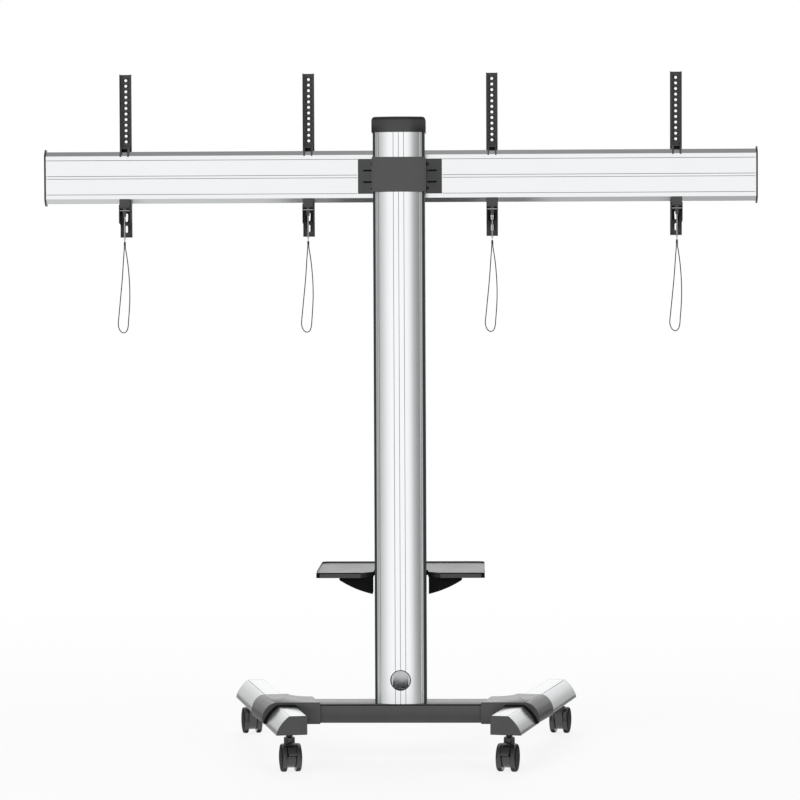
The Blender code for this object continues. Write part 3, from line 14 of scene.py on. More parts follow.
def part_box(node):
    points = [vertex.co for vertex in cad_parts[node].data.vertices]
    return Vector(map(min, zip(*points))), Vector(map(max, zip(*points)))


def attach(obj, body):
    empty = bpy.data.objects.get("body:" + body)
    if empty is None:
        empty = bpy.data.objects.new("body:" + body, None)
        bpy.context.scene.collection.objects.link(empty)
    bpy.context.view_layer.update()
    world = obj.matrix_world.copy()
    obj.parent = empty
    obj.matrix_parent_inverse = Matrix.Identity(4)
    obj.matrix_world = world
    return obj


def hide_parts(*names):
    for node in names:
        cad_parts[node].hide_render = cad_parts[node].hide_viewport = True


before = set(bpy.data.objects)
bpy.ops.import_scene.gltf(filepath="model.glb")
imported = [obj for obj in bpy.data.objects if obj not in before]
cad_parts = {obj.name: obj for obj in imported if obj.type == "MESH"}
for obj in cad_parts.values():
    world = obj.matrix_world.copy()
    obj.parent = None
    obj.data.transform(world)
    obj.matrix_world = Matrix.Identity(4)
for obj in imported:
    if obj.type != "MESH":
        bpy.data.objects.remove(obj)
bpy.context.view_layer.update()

bl_info = {
    "name": "Video Wall Stand Looks",
    "version": (1, 0, 0),
    "blender": (4, 5, 0),
    "location": "3D View > Sidebar > Stand",
    "description": "Builds the visible pieces, finishes, lights and camera of a mobile video wall stand",
    "category": "Object",
}

STRIPS = ("left_outer", "left_inner", "right_inner", "right_outer")
CASTORS = ("left_near", "left_far", "right_near", "right_far")
BASE = "base_and_column"
BAR = "bar_carriage"
RING_WIRE = 0.0016

# Route of a pull cord, as sideways offset and height below its ferrule, seen from the rear side
CORD_ROUTE = (
    (-0.0021, 0.0004),
    (-0.0026, 0.014),
    (-0.0055, 0.050),
    (-0.0108, 0.125),
    (-0.0180, 0.200),
    (-0.0258, 0.277),
    (-0.0278, 0.300),
    (-0.0250, 0.318),
    (-0.0165, 0.3315),
    (-0.0055, 0.3355),
    (0.0048, 0.329),
    (0.0104, 0.312),
    (0.0128, 0.285),
    (0.0165, 0.235),
    (0.0180, 0.190),
    (0.0168, 0.135),
    (0.0120, 0.075),
    (0.0056, 0.027),
    (0.0026, 0.010),
    (0.0021, 0.0004),
)


def linear(hex_digits):
    """The linear colour of an sRGB hex value."""
    channels = [int(hex_digits[index:index + 2], 16) / 255 for index in (0, 2, 4)]
    return [value / 12.92 if value <= 0.04045 else ((value + 0.055) / 1.055) ** 2.4 for value in channels]


def length(name, description, default):
    """A size that a user may change."""
    return bpy.props.FloatProperty(name=name, description=description, default=default, min=0.0001,
                                   precision=4, unit="LENGTH")


def colour(name, description, hex_digits):
    """A colour that a user may change."""
    return bpy.props.FloatVectorProperty(name=name, description=description, default=linear(hex_digits),
                                         size=3, min=0.0, max=1.0, subtype="COLOR")


class StandSizes(bpy.types.PropertyGroup):
    """Sizes of the details that the solids leave out."""
    sheet_rounding: length("Sheet Edge", "Rounding on the edges of folded sheet and extrusions", 0.0005)
    cast_rounding: length("Cast Edge", "Rounding on the edges of castings", 0.0015)
    moulded_rounding: length("Moulded Edge", "Rounding on the edges of moulded plastic", 0.0008)
    small_rounding: length("Small Edge", "Rounding on the edges of bolts, pins, stems and ferrules", 0.0003)
    hole_diameter: length("Hole", "Diameter of the round holes in a display strip", 0.011)
    hole_pitch: length("Hole Pitch", "Distance between the holes of a display strip", 0.02164)
    hole_from_top: length("Hole From Top", "Distance of the first hole from a strip's end", 0.0222)
    slot_width: length("Slot", "Width of the slots in a strip's tail", 0.0088)
    strip_sheet: length("Strip Sheet", "Thickness of the display strips' sheet", 0.0025)
    prong_thickness: length("Prong", "Thickness of a hook's prong", 0.006)
    prong_spacing: length("Prong Spacing", "Distance between the prongs of a hook", 0.0292)
    wire_diameter: length("Pull Wire", "Diameter of the latch's pull wire", 0.006)
    cord_diameter: length("Cord", "Diameter of the pull cords", 0.0039)
    bolt_head: length("Bolt Head", "Diameter of the clamp's bolt heads", 0.0075)
    line_width: length("Line", "Width of the fine dark lines on the extrusions", 0.0016)


class StandColours(bpy.types.PropertyGroup):
    """Colours of the finishes."""
    aluminium: colour("Aluminium", "Satin anodised extrusions", "F9FBFC")
    side_strip: colour("Side Strip", "Edge strips of the column and lines in the grooves", "2A2D2F")
    black_plastic: colour("Black Plastic", "End caps of the bar, grommet and ferrules", "0F1010")
    casting: colour("Casting", "Painted corner castings", "3A3A3A")
    dark_paint: colour("Dark Paint", "Crossbar, clamp and its bolts", "404040")
    leg_cap: colour("Leg Cap", "End caps and creases of the legs", "444444")
    # Also the colour of the painted shade lines along the legs' creases
    strip_paint: colour("Strip Paint", "Display strips, latches and shelf bracket", "3A3A3A")
    shelf_paint: colour("Shelf Paint", "Shelf tray", "343434")
    steel: colour("Plated Steel", "Guide pins, pull wires, column foot and saddle", "C4C6C8")
    # The castor stems' steel is a darker copy of the plated steel: painted shade under the legs
    shaded_steel: colour("Black Steel", "Stems of the castors", "3A3A3C")
    # Darker than the outer aluminium: painted shade inside the duct
    duct: colour("Duct", "Ribbed inside of the cable duct", "D8DADC")
    # Besides gussets, washers and edge trim, this colour makes the arch bands, slot fills and crossbar fold
    # line, which are painted shade and dark reflection
    matte_black: colour("Matte Black", "Gussets, seals, washers, slots and edge trim", "0C0C0C")
    nylon: colour("Castor Nylon", "Castor housings and pedals", "0B0B0B")
    tread: colour("Tread", "Running surface of the wheels", "101010")
    cord: colour("Cord", "Braided pull cords", "202020")
    backdrop: colour("Backdrop", "Floor and room behind the stand", "FFFFFF")


def sizes():
    return bpy.context.scene.stand_sizes


def colours():
    return bpy.context.scene.stand_colours


# Meshes

def merged(node):
    """A copy of a node's solid with its loose triangles joined into whole faces."""
    bm = bmesh.new()
    bm.from_mesh(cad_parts[node].data)
    bmesh.ops.remove_doubles(bm, verts=bm.verts, dist=1e-6)
    bmesh.ops.dissolve_limit(bm, angle_limit=math.radians(0.2), use_dissolve_boundaries=False,
                             verts=bm.verts, edges=bm.edges, delimit=set())
    bmesh.ops.recalc_face_normals(bm, faces=bm.faces)
    return bm


def middle_of(node):
    """The middle of a node's box."""
    low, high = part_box(node)
    return (low + high) / 2


def placed(x, y, z, axis, angle=math.pi / 2):
    """A place, with a turn about one axis."""
    return Matrix.Translation((x, y, z)) @ Matrix.Rotation(angle, 4, axis)


def moved(bm, matrix):
    """Put a bmesh in its place."""
    bmesh.ops.transform(bm, matrix=matrix, verts=bm.verts)
    return bm


def verts_in(items):
    """The vertices among the items that a step has made."""
    return [item for item in items if isinstance(item, bmesh.types.BMVert)]


def plate(outline, axis, start, end):
    """A plate with a given outline, extruded along X, Y or Z."""
    place = {
        "X": lambda u, v, w: (w, u, v),
        "Y": lambda u, v, w: (u, w, v),
        "Z": lambda u, v, w: (u, v, w),
    }[axis]
    bm = bmesh.new()
    bm.faces.new([bm.verts.new(place(u, v, start)) for u, v in outline])
    grown = bmesh.ops.extrude_face_region(bm, geom=bm.faces[:])["geom"]
    shift = Vector(place(0, 0, end)) - Vector(place(0, 0, start))
    bmesh.ops.translate(bm, verts=verts_in(grown), vec=shift)
    bmesh.ops.recalc_face_normals(bm, faces=bm.faces)
    return bm


def spun(bm, steps):
    """Turn the profile in a bmesh once round Z, into one closed skin."""
    bmesh.ops.spin(bm, geom=bm.verts[:] + bm.edges[:], cent=(0, 0, 0), axis=(0, 0, 1), angle=math.tau,
                   steps=steps, use_merge=True)
    bmesh.ops.remove_doubles(bm, verts=bm.verts, dist=1e-6)
    bmesh.ops.recalc_face_normals(bm, faces=bm.faces)
    return bm


def turned(profile, steps, closed=False):
    """A round piece about Z from a profile of (radius, height) points."""
    bm = bmesh.new()
    verts = [bm.verts.new((radius, 0, height)) for radius, height in profile]
    pairs = list(zip(verts, verts[1:]))
    if closed:
        pairs.append((verts[-1], verts[0]))
    for pair in pairs:
        bm.edges.new(pair)
    return spun(bm, steps)


def wire_ring(radius):
    """A ring of round wire about Z. The radius is that of its outer edge."""
    bm = bmesh.new()
    section = bmesh.ops.create_circle(bm, segments=12, radius=RING_WIRE / 2)["verts"]
    bmesh.ops.transform(bm, matrix=placed(radius - RING_WIRE / 2, 0, 0, "X"), verts=section)
    return spun(bm, 32)


def rod(span, radius, matrix):
    """A straight round rod on Z, put in its place."""
    bm = bmesh.new()
    bmesh.ops.create_cone(bm, cap_ends=True, segments=24, radius1=radius, radius2=radius, depth=span,
                          matrix=matrix)
    return bm


def add_to(bm, other, matrix=Matrix.Identity(4)):
    """Add one bmesh to another at a place, and free it."""
    mesh = bpy.data.meshes.new("part")
    other.to_mesh(mesh)
    other.free()
    mesh.transform(matrix)
    bm.from_mesh(mesh)
    bpy.data.meshes.remove(mesh)


def piece(name, bm, body, finish, stands_for=(), rounding=0.0, smooth=35, segments=2):
    """Make a bmesh one visible piece of the stand, with smooth curves and softly rounded edges."""
    mesh = bpy.data.meshes.new(name)
    bm.to_mesh(mesh)
    bm.free()
    if "custom_normal" in mesh.attributes:
        mesh.attributes.remove(mesh.attributes["custom_normal"])
    mesh.shade_smooth()
    mesh.set_sharp_from_angle(angle=math.radians(smooth))
    mesh.materials.clear()
    mesh.materials.append(finish)
    made = bpy.data.objects.new(name, mesh)
    bpy.context.scene.collection.objects.link(made)
    if rounding:
        bevel = made.modifiers.new("edges", "BEVEL")
        bevel.width = rounding
        bevel.segments = segments
        bevel.limit_method = "ANGLE"
        bevel.angle_limit = math.radians(smooth)
        bevel.harden_normals = True
    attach(made, body)
    if stands_for:
        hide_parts(*stands_for)
    return made


def dressed(node, body, finish, rounding, smooth=35, segments=2):
    """A node's own shape with smooth curves and rounded edges, in its real finish."""
    return piece(f"{node}_dressed", merged(node), body, finish, (node,), rounding, smooth, segments)


# Finishes

def add_node(tree, kind, inputs=None, **settings):
    """Add a node with its settings. Each input takes a plain value or the output of another node."""
    node = tree.nodes.new(kind)
    for name, value in settings.items():
        setattr(node, name, value)
    for name, value in (inputs or {}).items():
        if isinstance(value, bpy.types.NodeSocket):
            tree.links.new(value, node.inputs[name])
        else:
            node.inputs[name].default_value = value
    return node


def maths(tree, operation, *values):
    """The result of one sum with plain values and outputs."""
    return add_node(tree, "ShaderNodeMath", dict(enumerate(values)), operation=operation).outputs[0]


def mapped(tree, value, low, high, start=0.0, end=1.0):
    """A level that goes from low to high while a value goes from start to end."""
    inputs = {"Value": value, "From Min": start, "From Max": end, "To Min": low, "To Max": high}
    return add_node(tree, "ShaderNodeMapRange", inputs).outputs["Result"]


def blend(tree, share, first, second):
    """A level between two others."""
    inputs = {0: share, 2: first, 3: second}
    return add_node(tree, "ShaderNodeMix", inputs, data_type="FLOAT").outputs[0]


def noise(tree, place, scale, detail, **inputs):
    """Cloudy noise of one scale."""
    inputs = {"Vector": place, "Scale": scale, "Detail": detail, **inputs}
    return add_node(tree, "ShaderNodeTexNoise", inputs).outputs["Fac"]


def stretched(tree, place, **inputs):
    """A place turned or scaled along its axes, which draws a pattern out along one of them."""
    return add_node(tree, "ShaderNodeMapping", {"Vector": place, **inputs}).outputs["Vector"]


def new_finish(name, roughness, metallic=0.0, coat=0.0):
    """A material with its plain values set, its tree and shader, and the place on the piece."""
    made = bpy.data.materials.new(name)
    made.use_nodes = True
    tree = made.node_tree
    shader = tree.nodes["Principled BSDF"]
    shader.inputs["Roughness"].default_value = roughness
    shader.inputs["Metallic"].default_value = metallic
    shader.inputs["Coat Weight"].default_value = coat
    return made, tree, shader, add_node(tree, "ShaderNodeTexCoord").outputs["Object"]


def once(make):
    """Make a named finish when it is first used, and give the same one afterwards."""
    @functools.wraps(make)
    def finish(name, *values, **named):
        return bpy.data.materials.get(name) or make(name, *values, **named)
    return finish


def scaled(shade, factor):
    """A lighter or darker shade of a colour."""
    return [min(value * factor, 1.0) for value in shade]


def shade_between(tree, shader, pattern, shade, darker, lighter):
    """Let a pattern move a colour between a darker and a lighter shade of itself."""
    inputs = {0: pattern, 6: (*scaled(shade, darker), 1.0), 7: (*scaled(shade, lighter), 1.0)}
    mix = add_node(tree, "ShaderNodeMix", inputs, data_type="RGBA")
    tree.links.new(mix.outputs[2], shader.inputs["Base Color"])


def gloss_between(tree, shader, pattern, low, high):
    """Let a pattern move the roughness between two values."""
    tree.links.new(mapped(tree, pattern, low, high), shader.inputs["Roughness"])


def raise_pattern(tree, shader, pattern, strength, distance):
    """Let a pattern stand out of the surface as fine relief."""
    bump = add_node(tree, "ShaderNodeBump", {"Height": pattern, "Strength": strength, "Distance": distance})
    tree.links.new(bump.outputs["Normal"], shader.inputs["Normal"])


@once
def anodised_extrusion(name, stretch, turn=0.0, tone=1.0):
    """Extruded aluminium, etched and satin anodised.

    The etch gives a soft metallic sheen, and the die leaves faint lines along the length. They are about
    0.3 mm apart on the real metal, and are drawn 2.5 mm apart so that they show. The last value darkens a
    copy of the metal evenly, as painted shade.
    """
    made, tree, shader, place = new_finish(name, 0.3, metallic=1.0)
    drawn = stretched(tree, place, Rotation=(0, 0, turn), Scale=stretch)
    die = noise(tree, drawn, scale=400.0, detail=2.0, Roughness=0.6)
    haze = noise(tree, place, scale=9.0, detail=3.0)
    both = maths(tree, "MULTIPLY_ADD", haze, 0.5, maths(tree, "MULTIPLY", die, 0.5))
    shade_between(tree, shader, both, scaled(colours().aluminium, tone), 0.965, 1.02)
    gloss_between(tree, shader, both, 0.13, 0.2)
    raise_pattern(tree, shader, die, strength=0.05, distance=0.0002)
    return made


@once
def powder_coat(name, shade, roughness, grain, relief, coat=0.0):
    """Baked powder paint on steel or cast metal.

    It flows out into a fine orange peel, which breaks up reflections. The grain is its real size.
    """
    made, tree, shader, place = new_finish(name, roughness, coat=coat)
    shader.inputs["IOR"].default_value = 1.5
    peel = noise(tree, place, scale=1 / grain, detail=2.0, Roughness=0.5)
    both = maths(tree, "MULTIPLY_ADD", peel, 0.35, noise(tree, place, scale=12.0, detail=4.0))
    shade_between(tree, shader, mapped(tree, both, 0.0, 1.0, start=0.3), shade, 0.9, 1.08)
    gloss_between(tree, shader, both, roughness - 0.04, roughness + 0.06)
    raise_pattern(tree, shader, peel, strength=0.2, distance=relief)
    return made


@once
def moulded_plastic(name, shade, roughness, grain=0.0009, ior=1.52):
    """Injection-moulded plastic with a fine spark-eroded texture from its mould.

    The grit is about 0.3 mm on the real part, and is drawn 0.9 mm so that it shows.
    """
    made, tree, shader, place = new_finish(name, roughness)
    shader.inputs["IOR"].default_value = ior
    grit = add_node(tree, "ShaderNodeTexVoronoi", {"Vector": place, "Scale": 1 / grain, "Randomness": 1.0},
                    feature="SMOOTH_F1")
    flow = noise(tree, place, scale=25.0, detail=3.0, Distortion=0.6)
    shade_between(tree, shader, flow, shade, 0.82, 1.18)
    gloss_between(tree, shader, flow, roughness - 0.05, roughness + 0.07)
    raise_pattern(tree, shader, grit.outputs["Distance"], strength=0.3, distance=0.00006)
    return made


@once
def plated_steel(name, shade):
    """Zinc plate on steel: clean metal with slightly cloudy patches. It comes bright, and dark on the castor
    stems, where the dark is painted shade.
    """
    made, tree, shader, place = new_finish(name, 0.24, metallic=1.0)
    cloud = noise(tree, place, scale=180.0, detail=4.0)
    shade_between(tree, shader, cloud, shade, 0.88, 1.1)
    gloss_between(tree, shader, cloud, 0.18, 0.32)
    return made


@once
def duct_metal(name):
    """Mill-finish aluminium inside the cable duct, dulled by its oxide, and darker than the outside metal as
    painted shade.
    """
    made, tree, shader, place = new_finish(name, 0.25, metallic=1.0)
    die = noise(tree, stretched(tree, place, Scale=(1.0, 1.0, 0.01)), scale=500.0, detail=2.0)
    shade_between(tree, shader, die, colours().duct, 0.85, 1.1)
    raise_pattern(tree, shader, die, strength=0.2, distance=0.0001)
    return made


@once
def braided_sheath(name):
    """Woven polyester cord: two sets of strands cross each other about every 2 mm."""
    made, tree, shader, place = new_finish(name, 0.75)
    strands = []
    for side in (-1, 1):
        lay = stretched(tree, place, Rotation=(0, side * math.radians(40), 0))
        strand = add_node(tree, "ShaderNodeTexWave", {"Vector": lay, "Scale": 150.0, "Distortion": 0.4},
                          wave_type="BANDS", bands_direction="Z")
        strands.append(strand.outputs["Fac"])
    weave = maths(tree, "MAXIMUM", *strands)
    shade_between(tree, shader, weave, colours().cord, 0.55, 1.25)
    raise_pattern(tree, shader, weave, strength=0.6, distance=0.0003)
    return made


def shaded_corners(finish, reach):
    """Paint shade into a finish near the pieces that stand close to it: painted corner shade, which also
    dims its reflections there.
    """
    tree = finish.node_tree
    shader = tree.nodes["Principled BSDF"]
    paint = shader.inputs["Base Color"].links[0].from_socket
    near = add_node(tree, "ShaderNodeAmbientOcclusion", {"Distance": reach}).outputs["AO"]
    lit = mapped(tree, near, 0.08, 1.0, start=0.3, end=0.95)
    shaded = add_node(tree, "ShaderNodeMix", {0: 1.0, 6: paint, 7: lit}, data_type="RGBA",
                      blend_type="MULTIPLY")
    tree.links.new(shaded.outputs[2], shader.inputs["Base Color"])
    tree.links.new(maths(tree, "MULTIPLY", lit, 0.5), shader.inputs["Specular IOR Level"])


def dark_paint():
    return powder_coat("powder_coat_dark_grey", colours().dark_paint, roughness=0.2, grain=0.0018,
                       relief=0.00001)


def strip_paint():
    return powder_coat("powder_coat_charcoal", colours().strip_paint, roughness=0.38, grain=0.0018,
                       relief=0.00003)


def black_plastic():
    return moulded_plastic("abs_black_satin", colours().black_plastic, roughness=0.24)


def glossy_black():
    shade = scaled(colours().black_plastic, 0.6)
    return moulded_plastic("abs_black_gloss", shade, roughness=0.18, ior=1.75)


def matte_black():
    return moulded_plastic("polyamide_black_matte", colours().matte_black, roughness=0.6, ior=1.2)


def edging():
    return moulded_plastic("pvc_edging_dark_grey", colours().side_strip, roughness=0.36)


def bright_steel():
    return plated_steel("zinc_plated_steel_bright", colours().steel)


# The pieces, one operator for each group

class STAND_OT_camera(bpy.types.Operator):
    """Stand the camera where the stand is seen from its service side"""
    bl_idname = "stand.camera"
    bl_label = "Camera"

    def execute(self, context):
        place = (0.3274, -12.119, 1.8184)
        yaw, pitch, roll = 0.0274, 0.0364, 0.00426
        focal_pixels, photo_pixels = 3109.5, 800
        level = math.cos(pitch)
        forward = Vector((-math.sin(yaw) * level, math.cos(yaw) * level, -math.sin(pitch)))
        right = Vector((math.cos(yaw), math.sin(yaw), 0))
        up = right.cross(forward)
        across = right * math.cos(roll) - up * math.sin(roll)
        upright = right * math.sin(roll) + up * math.cos(roll)
        turn = Matrix((across, upright, -forward)).transposed().to_4x4()
        lens = bpy.data.cameras.new("camera")
        lens.sensor_width = 36
        lens.lens = lens.sensor_width * focal_pixels / photo_pixels
        lens.clip_end = 200
        camera = bpy.data.objects.new("camera", lens)
        camera.matrix_world = Matrix.Translation(place) @ turn
        context.scene.collection.objects.link(camera)
        context.scene.camera = camera
        return {"FINISHED"}


class STAND_OT_pull_cords(bpy.types.Operator):
    """Hang the pull cords and their ferrules under the latches"""
    bl_idname = "stand.pull_cords"
    bl_label = "Pull Cords"

    def execute(self, context):
        for name in STRIPS:
            low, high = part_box(f"ferrule_{name}")
            middle = middle_of(f"ferrule_{name}")
            body = f"spring_latch_{name}"
            ferrule = self.ferrule(middle, low.z, high.z, (high.x - low.x) / 2)
            sleeve = piece(f"ferrule_{name}_crimped", ferrule, body, black_plastic(),
                           (f"ferrule_{name}",), sizes().small_rounding)
            cord = self.cord(f"pull_cord_{name}_braided", middle, low.z)
            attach(cord, body)
            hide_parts(f"pull_cord_{name}")
        return {"FINISHED"}

    def ferrule(self, middle, low, high, radius):
        """Sleeve with two crimped waists and a wire eye on top."""
        eye = 0.006
        top = high - 2 * eye + RING_WIRE
        waist = radius - 0.0006
        profile = [
            (0, low), (radius - 0.0005, low), (radius, low + 0.0006), (radius, low + 0.004),
            (waist, low + 0.0055), (waist, low + 0.007), (radius, low + 0.0085), (radius, top - 0.0055),
            (waist, top - 0.0045), (waist, top - 0.0035), (radius, top - 0.0022), (radius - 0.0012, top),
            (0, top),
        ]
        bm = bmesh.new()
        add_to(bm, turned(profile, 24), Matrix.Translation((middle.x, middle.y, 0)))
        add_to(bm, wire_ring(eye), placed(middle.x, middle.y, high - eye, "Y"))
        return bm

    def cord(self, name, middle, top):
        """One smooth curve through the route's points."""
        curve = bpy.data.curves.new(name, "CURVE")
        curve.dimensions = "3D"
        curve.bevel_depth = sizes().cord_diameter / 2
        curve.bevel_resolution = 3
        curve.use_fill_caps = True
        points = [Vector((middle.x + aside, middle.y, top - down)) for aside, down in CORD_ROUTE]
        last = len(points) - 1
        spline = curve.splines.new("BEZIER")
        spline.bezier_points.add(last)
        spline.resolution_u = 8
        for index, point in enumerate(points):
            tangent = (points[min(index + 1, last)] - points[max(index - 1, 0)]) / 2
            target = spline.bezier_points[index]
            target.handle_left_type = target.handle_right_type = "FREE"
            target.co = point
            target.handle_left = point - tangent / 3
            target.handle_right = point + tangent / 3
        curve.materials.append(braided_sheath("braided_polyester"))
        made = bpy.data.objects.new(name, curve)
        bpy.context.scene.collection.objects.link(made)
        return made


class STAND_OT_base(bpy.types.Operator):
    """Dress the crossbar and the corner castings"""
    bl_idname = "stand.base"
    bl_label = "Crossbar and Castings"

    def execute(self, context):
        dressed("crossbar", BASE, dark_paint(), 0.0)
        cast = powder_coat("painted_die_casting", colours().casting, roughness=0.22, grain=0.0022,
                           relief=0.00002, coat=0.2)
        # Painted shade where the castings meet the legs and the crossbar
        shaded_corners(cast, reach=0.07)
        for side in ("left", "right"):
            node = f"corner_casting_{side}"
            dressed(node, BASE, cast, sizes().cast_rounding, smooth=28, segments=3)
            # Painted shade and dark reflection along the arch where each casting hugs its leg
            piece(f"casting_seal_{side}", self.arch_shade(node, f"leg_{side}"), BASE, matte_black())
        # Painted dark reflection along the crossbar's front bend
        piece("crossbar_fold_shade", self.fold(), BASE, matte_black())
        return {"FINISHED"}

    def fold(self):
        """Dark line along the crossbar's front, where its sheet turns down, between the castings: a painted
        dark reflection of the bend.
        """
        low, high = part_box("crossbar")
        front = low.y
        proud = 0.0002
        reach = 0.308
        outline = [(front - proud, high.z - 0.0052), (front - proud, high.z - 0.0022),
                   (front, high.z - 0.0018), (front, high.z - 0.0056)]
        return plate(outline, "X", -reach, reach)

    def arch_shade(self, node, leg):
        """Black band on the casting's near face, along the arch where it hugs the leg: painted shade and
        dark reflection.
        """
        facing, face_depth, snug = -0.95, 0.01, 0.0006
        wide, tall, proud = 0.0075, 0.0045, 0.0008
        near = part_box(node)[0].y
        tube = merged(leg)
        surface = BVHTree.FromBMesh(tube)
        tube.free()
        bm = merged(node)
        spare = [face for face in bm.faces
                 if face.normal.y > facing or face.calc_center_median().y > near + face_depth]
        bmesh.ops.delete(bm, geom=spare, context="FACES")
        arch = [edge for edge in bm.edges if edge.is_boundary
                and all(surface.find_nearest(vert.co)[3] < snug for vert in edge.verts)]
        grown = bmesh.ops.extrude_edge_only(bm, edges=arch)["geom"]
        for vert in verts_in(grown):
            away = surface.find_nearest(vert.co)[1]
            vert.co += Vector((away.x * wide, 0, away.z * tall))
        band = {item for item in grown if isinstance(item, bmesh.types.BMFace)}
        bmesh.ops.delete(bm, geom=[face for face in bm.faces if face not in band], context="FACES")
        lifted = bmesh.ops.extrude_face_region(bm, geom=bm.faces[:])["geom"]
        bmesh.ops.translate(bm, verts=verts_in(lifted), vec=(0, -proud, 0))
        bmesh.ops.recalc_face_normals(bm, faces=bm.faces)
        return bm


class STAND_OT_legs(bpy.types.Operator):
    """Dress the legs and their end caps"""
    bl_idname = "stand.legs"
    bl_label = "Legs"

    def execute(self, context):
        cap = moulded_plastic("polypropylene_grey", colours().leg_cap, roughness=0.42)
        for side, outside in (("left", -1), ("right", 1)):
            near = middle_of(f"leg_cap_{side}_near")
            far = middle_of(f"leg_cap_{side}_far")
            turn = math.atan2(far.x - near.x, far.y - near.y)
            metal = anodised_extrusion(f"anodised_aluminium_leg_{side}", (1.0, 0.004, 1.0), turn)
            dressed(f"leg_{side}", BASE, metal, sizes().sheet_rounding, smooth=60)
            # Painted shade along the crease of the leg
            line = self.crease(near, far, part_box(f"leg_{side}")[1].z, outside)
            piece(f"leg_crease_shade_{side}", line, BASE, cap)
            for end in ("near", "far"):
                dressed(f"leg_cap_{side}_{end}", BASE, cap, sizes().sheet_rounding)
        return {"FINISHED"}

    def crease(self, near, far, top, outside):
        """Fine dark line along the leg, where its flat top ends and its curved side begins: painted shade
        along the crease.
        """
        along = Vector((far.x - near.x, far.y - near.y, 0)).normalized()
        across = Vector((along.y, -along.x, 0)) * outside
        reach = (far - near).length / 2 - 0.004
        half = sizes().line_width / 2
        edge, proud = 0.0095, 0.0002
        outline = [(edge - half, 0), (edge + half, 0), (edge + half / 2, proud), (edge - half / 2, proud)]
        turn = Matrix((across, along, Vector((0, 0, 1)))).transposed().to_4x4()
        middle = (near + far) / 2
        place = Matrix.Translation((middle.x, middle.y, top)) @ turn
        bm = moved(plate(outline, "Y", -reach, reach), place)
        bmesh.ops.recalc_face_normals(bm, faces=bm.faces)
        return bm


class STAND_OT_castors(bpy.types.Operator):
    """Model the twin wheels of the castors, and dress their housings, pedals and stems"""
    bl_idname = "stand.castors"
    bl_label = "Castors"

    def execute(self, context):
        inner, width = 0.01675, 0.022
        nylon = moulded_plastic("glass_filled_nylon_black", colours().nylon, roughness=0.22,
                                grain=0.0012, ior=1.8)
        rubber = moulded_plastic("polyurethane_tread", colours().tread, roughness=0.28, grain=0.0015,
                                 ior=1.75)
        # Painted shade: the stems take a dark copy of the plated steel
        shaded_steel = plated_steel("black_passivated_steel", colours().shaded_steel)
        for name in CASTORS:
            castor = f"castor_{name}"
            dressed(f"{castor}_housing", f"{castor}_swivel", nylon, sizes().moulded_rounding)
            dressed(f"{castor}_pedal", f"{castor}_brake", nylon, sizes().moulded_rounding)
            dressed(f"{castor}_stem", BASE, shaded_steel, sizes().small_rounding)
            start, end = middle_of(f"{castor}_wheel_a"), middle_of(f"{castor}_wheel_b")
            axle = (end - start).normalized()
            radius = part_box(f"{castor}_wheel_a")[1].z / 2
            for letter, side in (("a", -1), ("b", 1)):
                wheel = f"{castor}_wheel_{letter}"
                body = f"{castor}_roller_{letter}"
                turn = (axle * side).to_track_quat("Z", "Y").to_matrix().to_4x4()
                place = Matrix.Translation((start + end) / 2) @ turn
                piece(f"{wheel}_moulded", moved(self.wheel(radius, inner, inner + width), place), body,
                      rubber, (wheel,))
                piece(f"{wheel}_cover", moved(self.cover(radius, inner + width), place), body,
                      matte_black())
        return {"FINISHED"}

    def face(self, radius, level):
        """Profile of a dished outer face, from its shoulder in to the sunk ring round its hub."""
        dish = ((0.0065, 0.0018), (0.0075, 0.0024), (0.0085, 0.0016), (0.012, 0.0006), (0.018, 0.0001),
                (0.030, 0))
        hub = ((0.0125, 0), (0.0118, 0.0012), (0.0105, 0.0012))
        return [(radius - inset, level - sunk) for inset, sunk in dish] + [
            (place, level - sunk) for place, sunk in hub]

    def wheel(self, radius, inner, outer):
        """A wheel on +Z, with a blind bore, a rounded tread, a shoulder and a dished face."""
        bore, blind = 0.0043, 0.0047
        profile = [
            (0, outer - blind), (bore, outer - blind), (bore, inner), (radius - 0.003, inner),
            (radius - 0.001, inner + 0.0015), (radius, inner + 0.004), (radius, outer - 0.0075),
            (radius - 0.0012, outer - 0.0045), (radius - 0.0035, outer - 0.0025),
            *self.face(radius, outer), (0.0098, outer - 0.0003), (0, outer),
        ]
        return turned(profile, 64)

    def cover(self, radius, outer):
        """The thin dull disc that closes a wheel's outer side, on +Z, and lies just proud of its face."""
        proud, thickness = 0.0002, 0.003
        rim = radius - 0.003
        profile = [
            (0, outer - thickness), (rim, outer - thickness), (rim, outer - 0.0024),
            *self.face(radius, outer + proud), (0.0098, outer), (0, outer + proud),
        ]
        return turned(profile, 64)


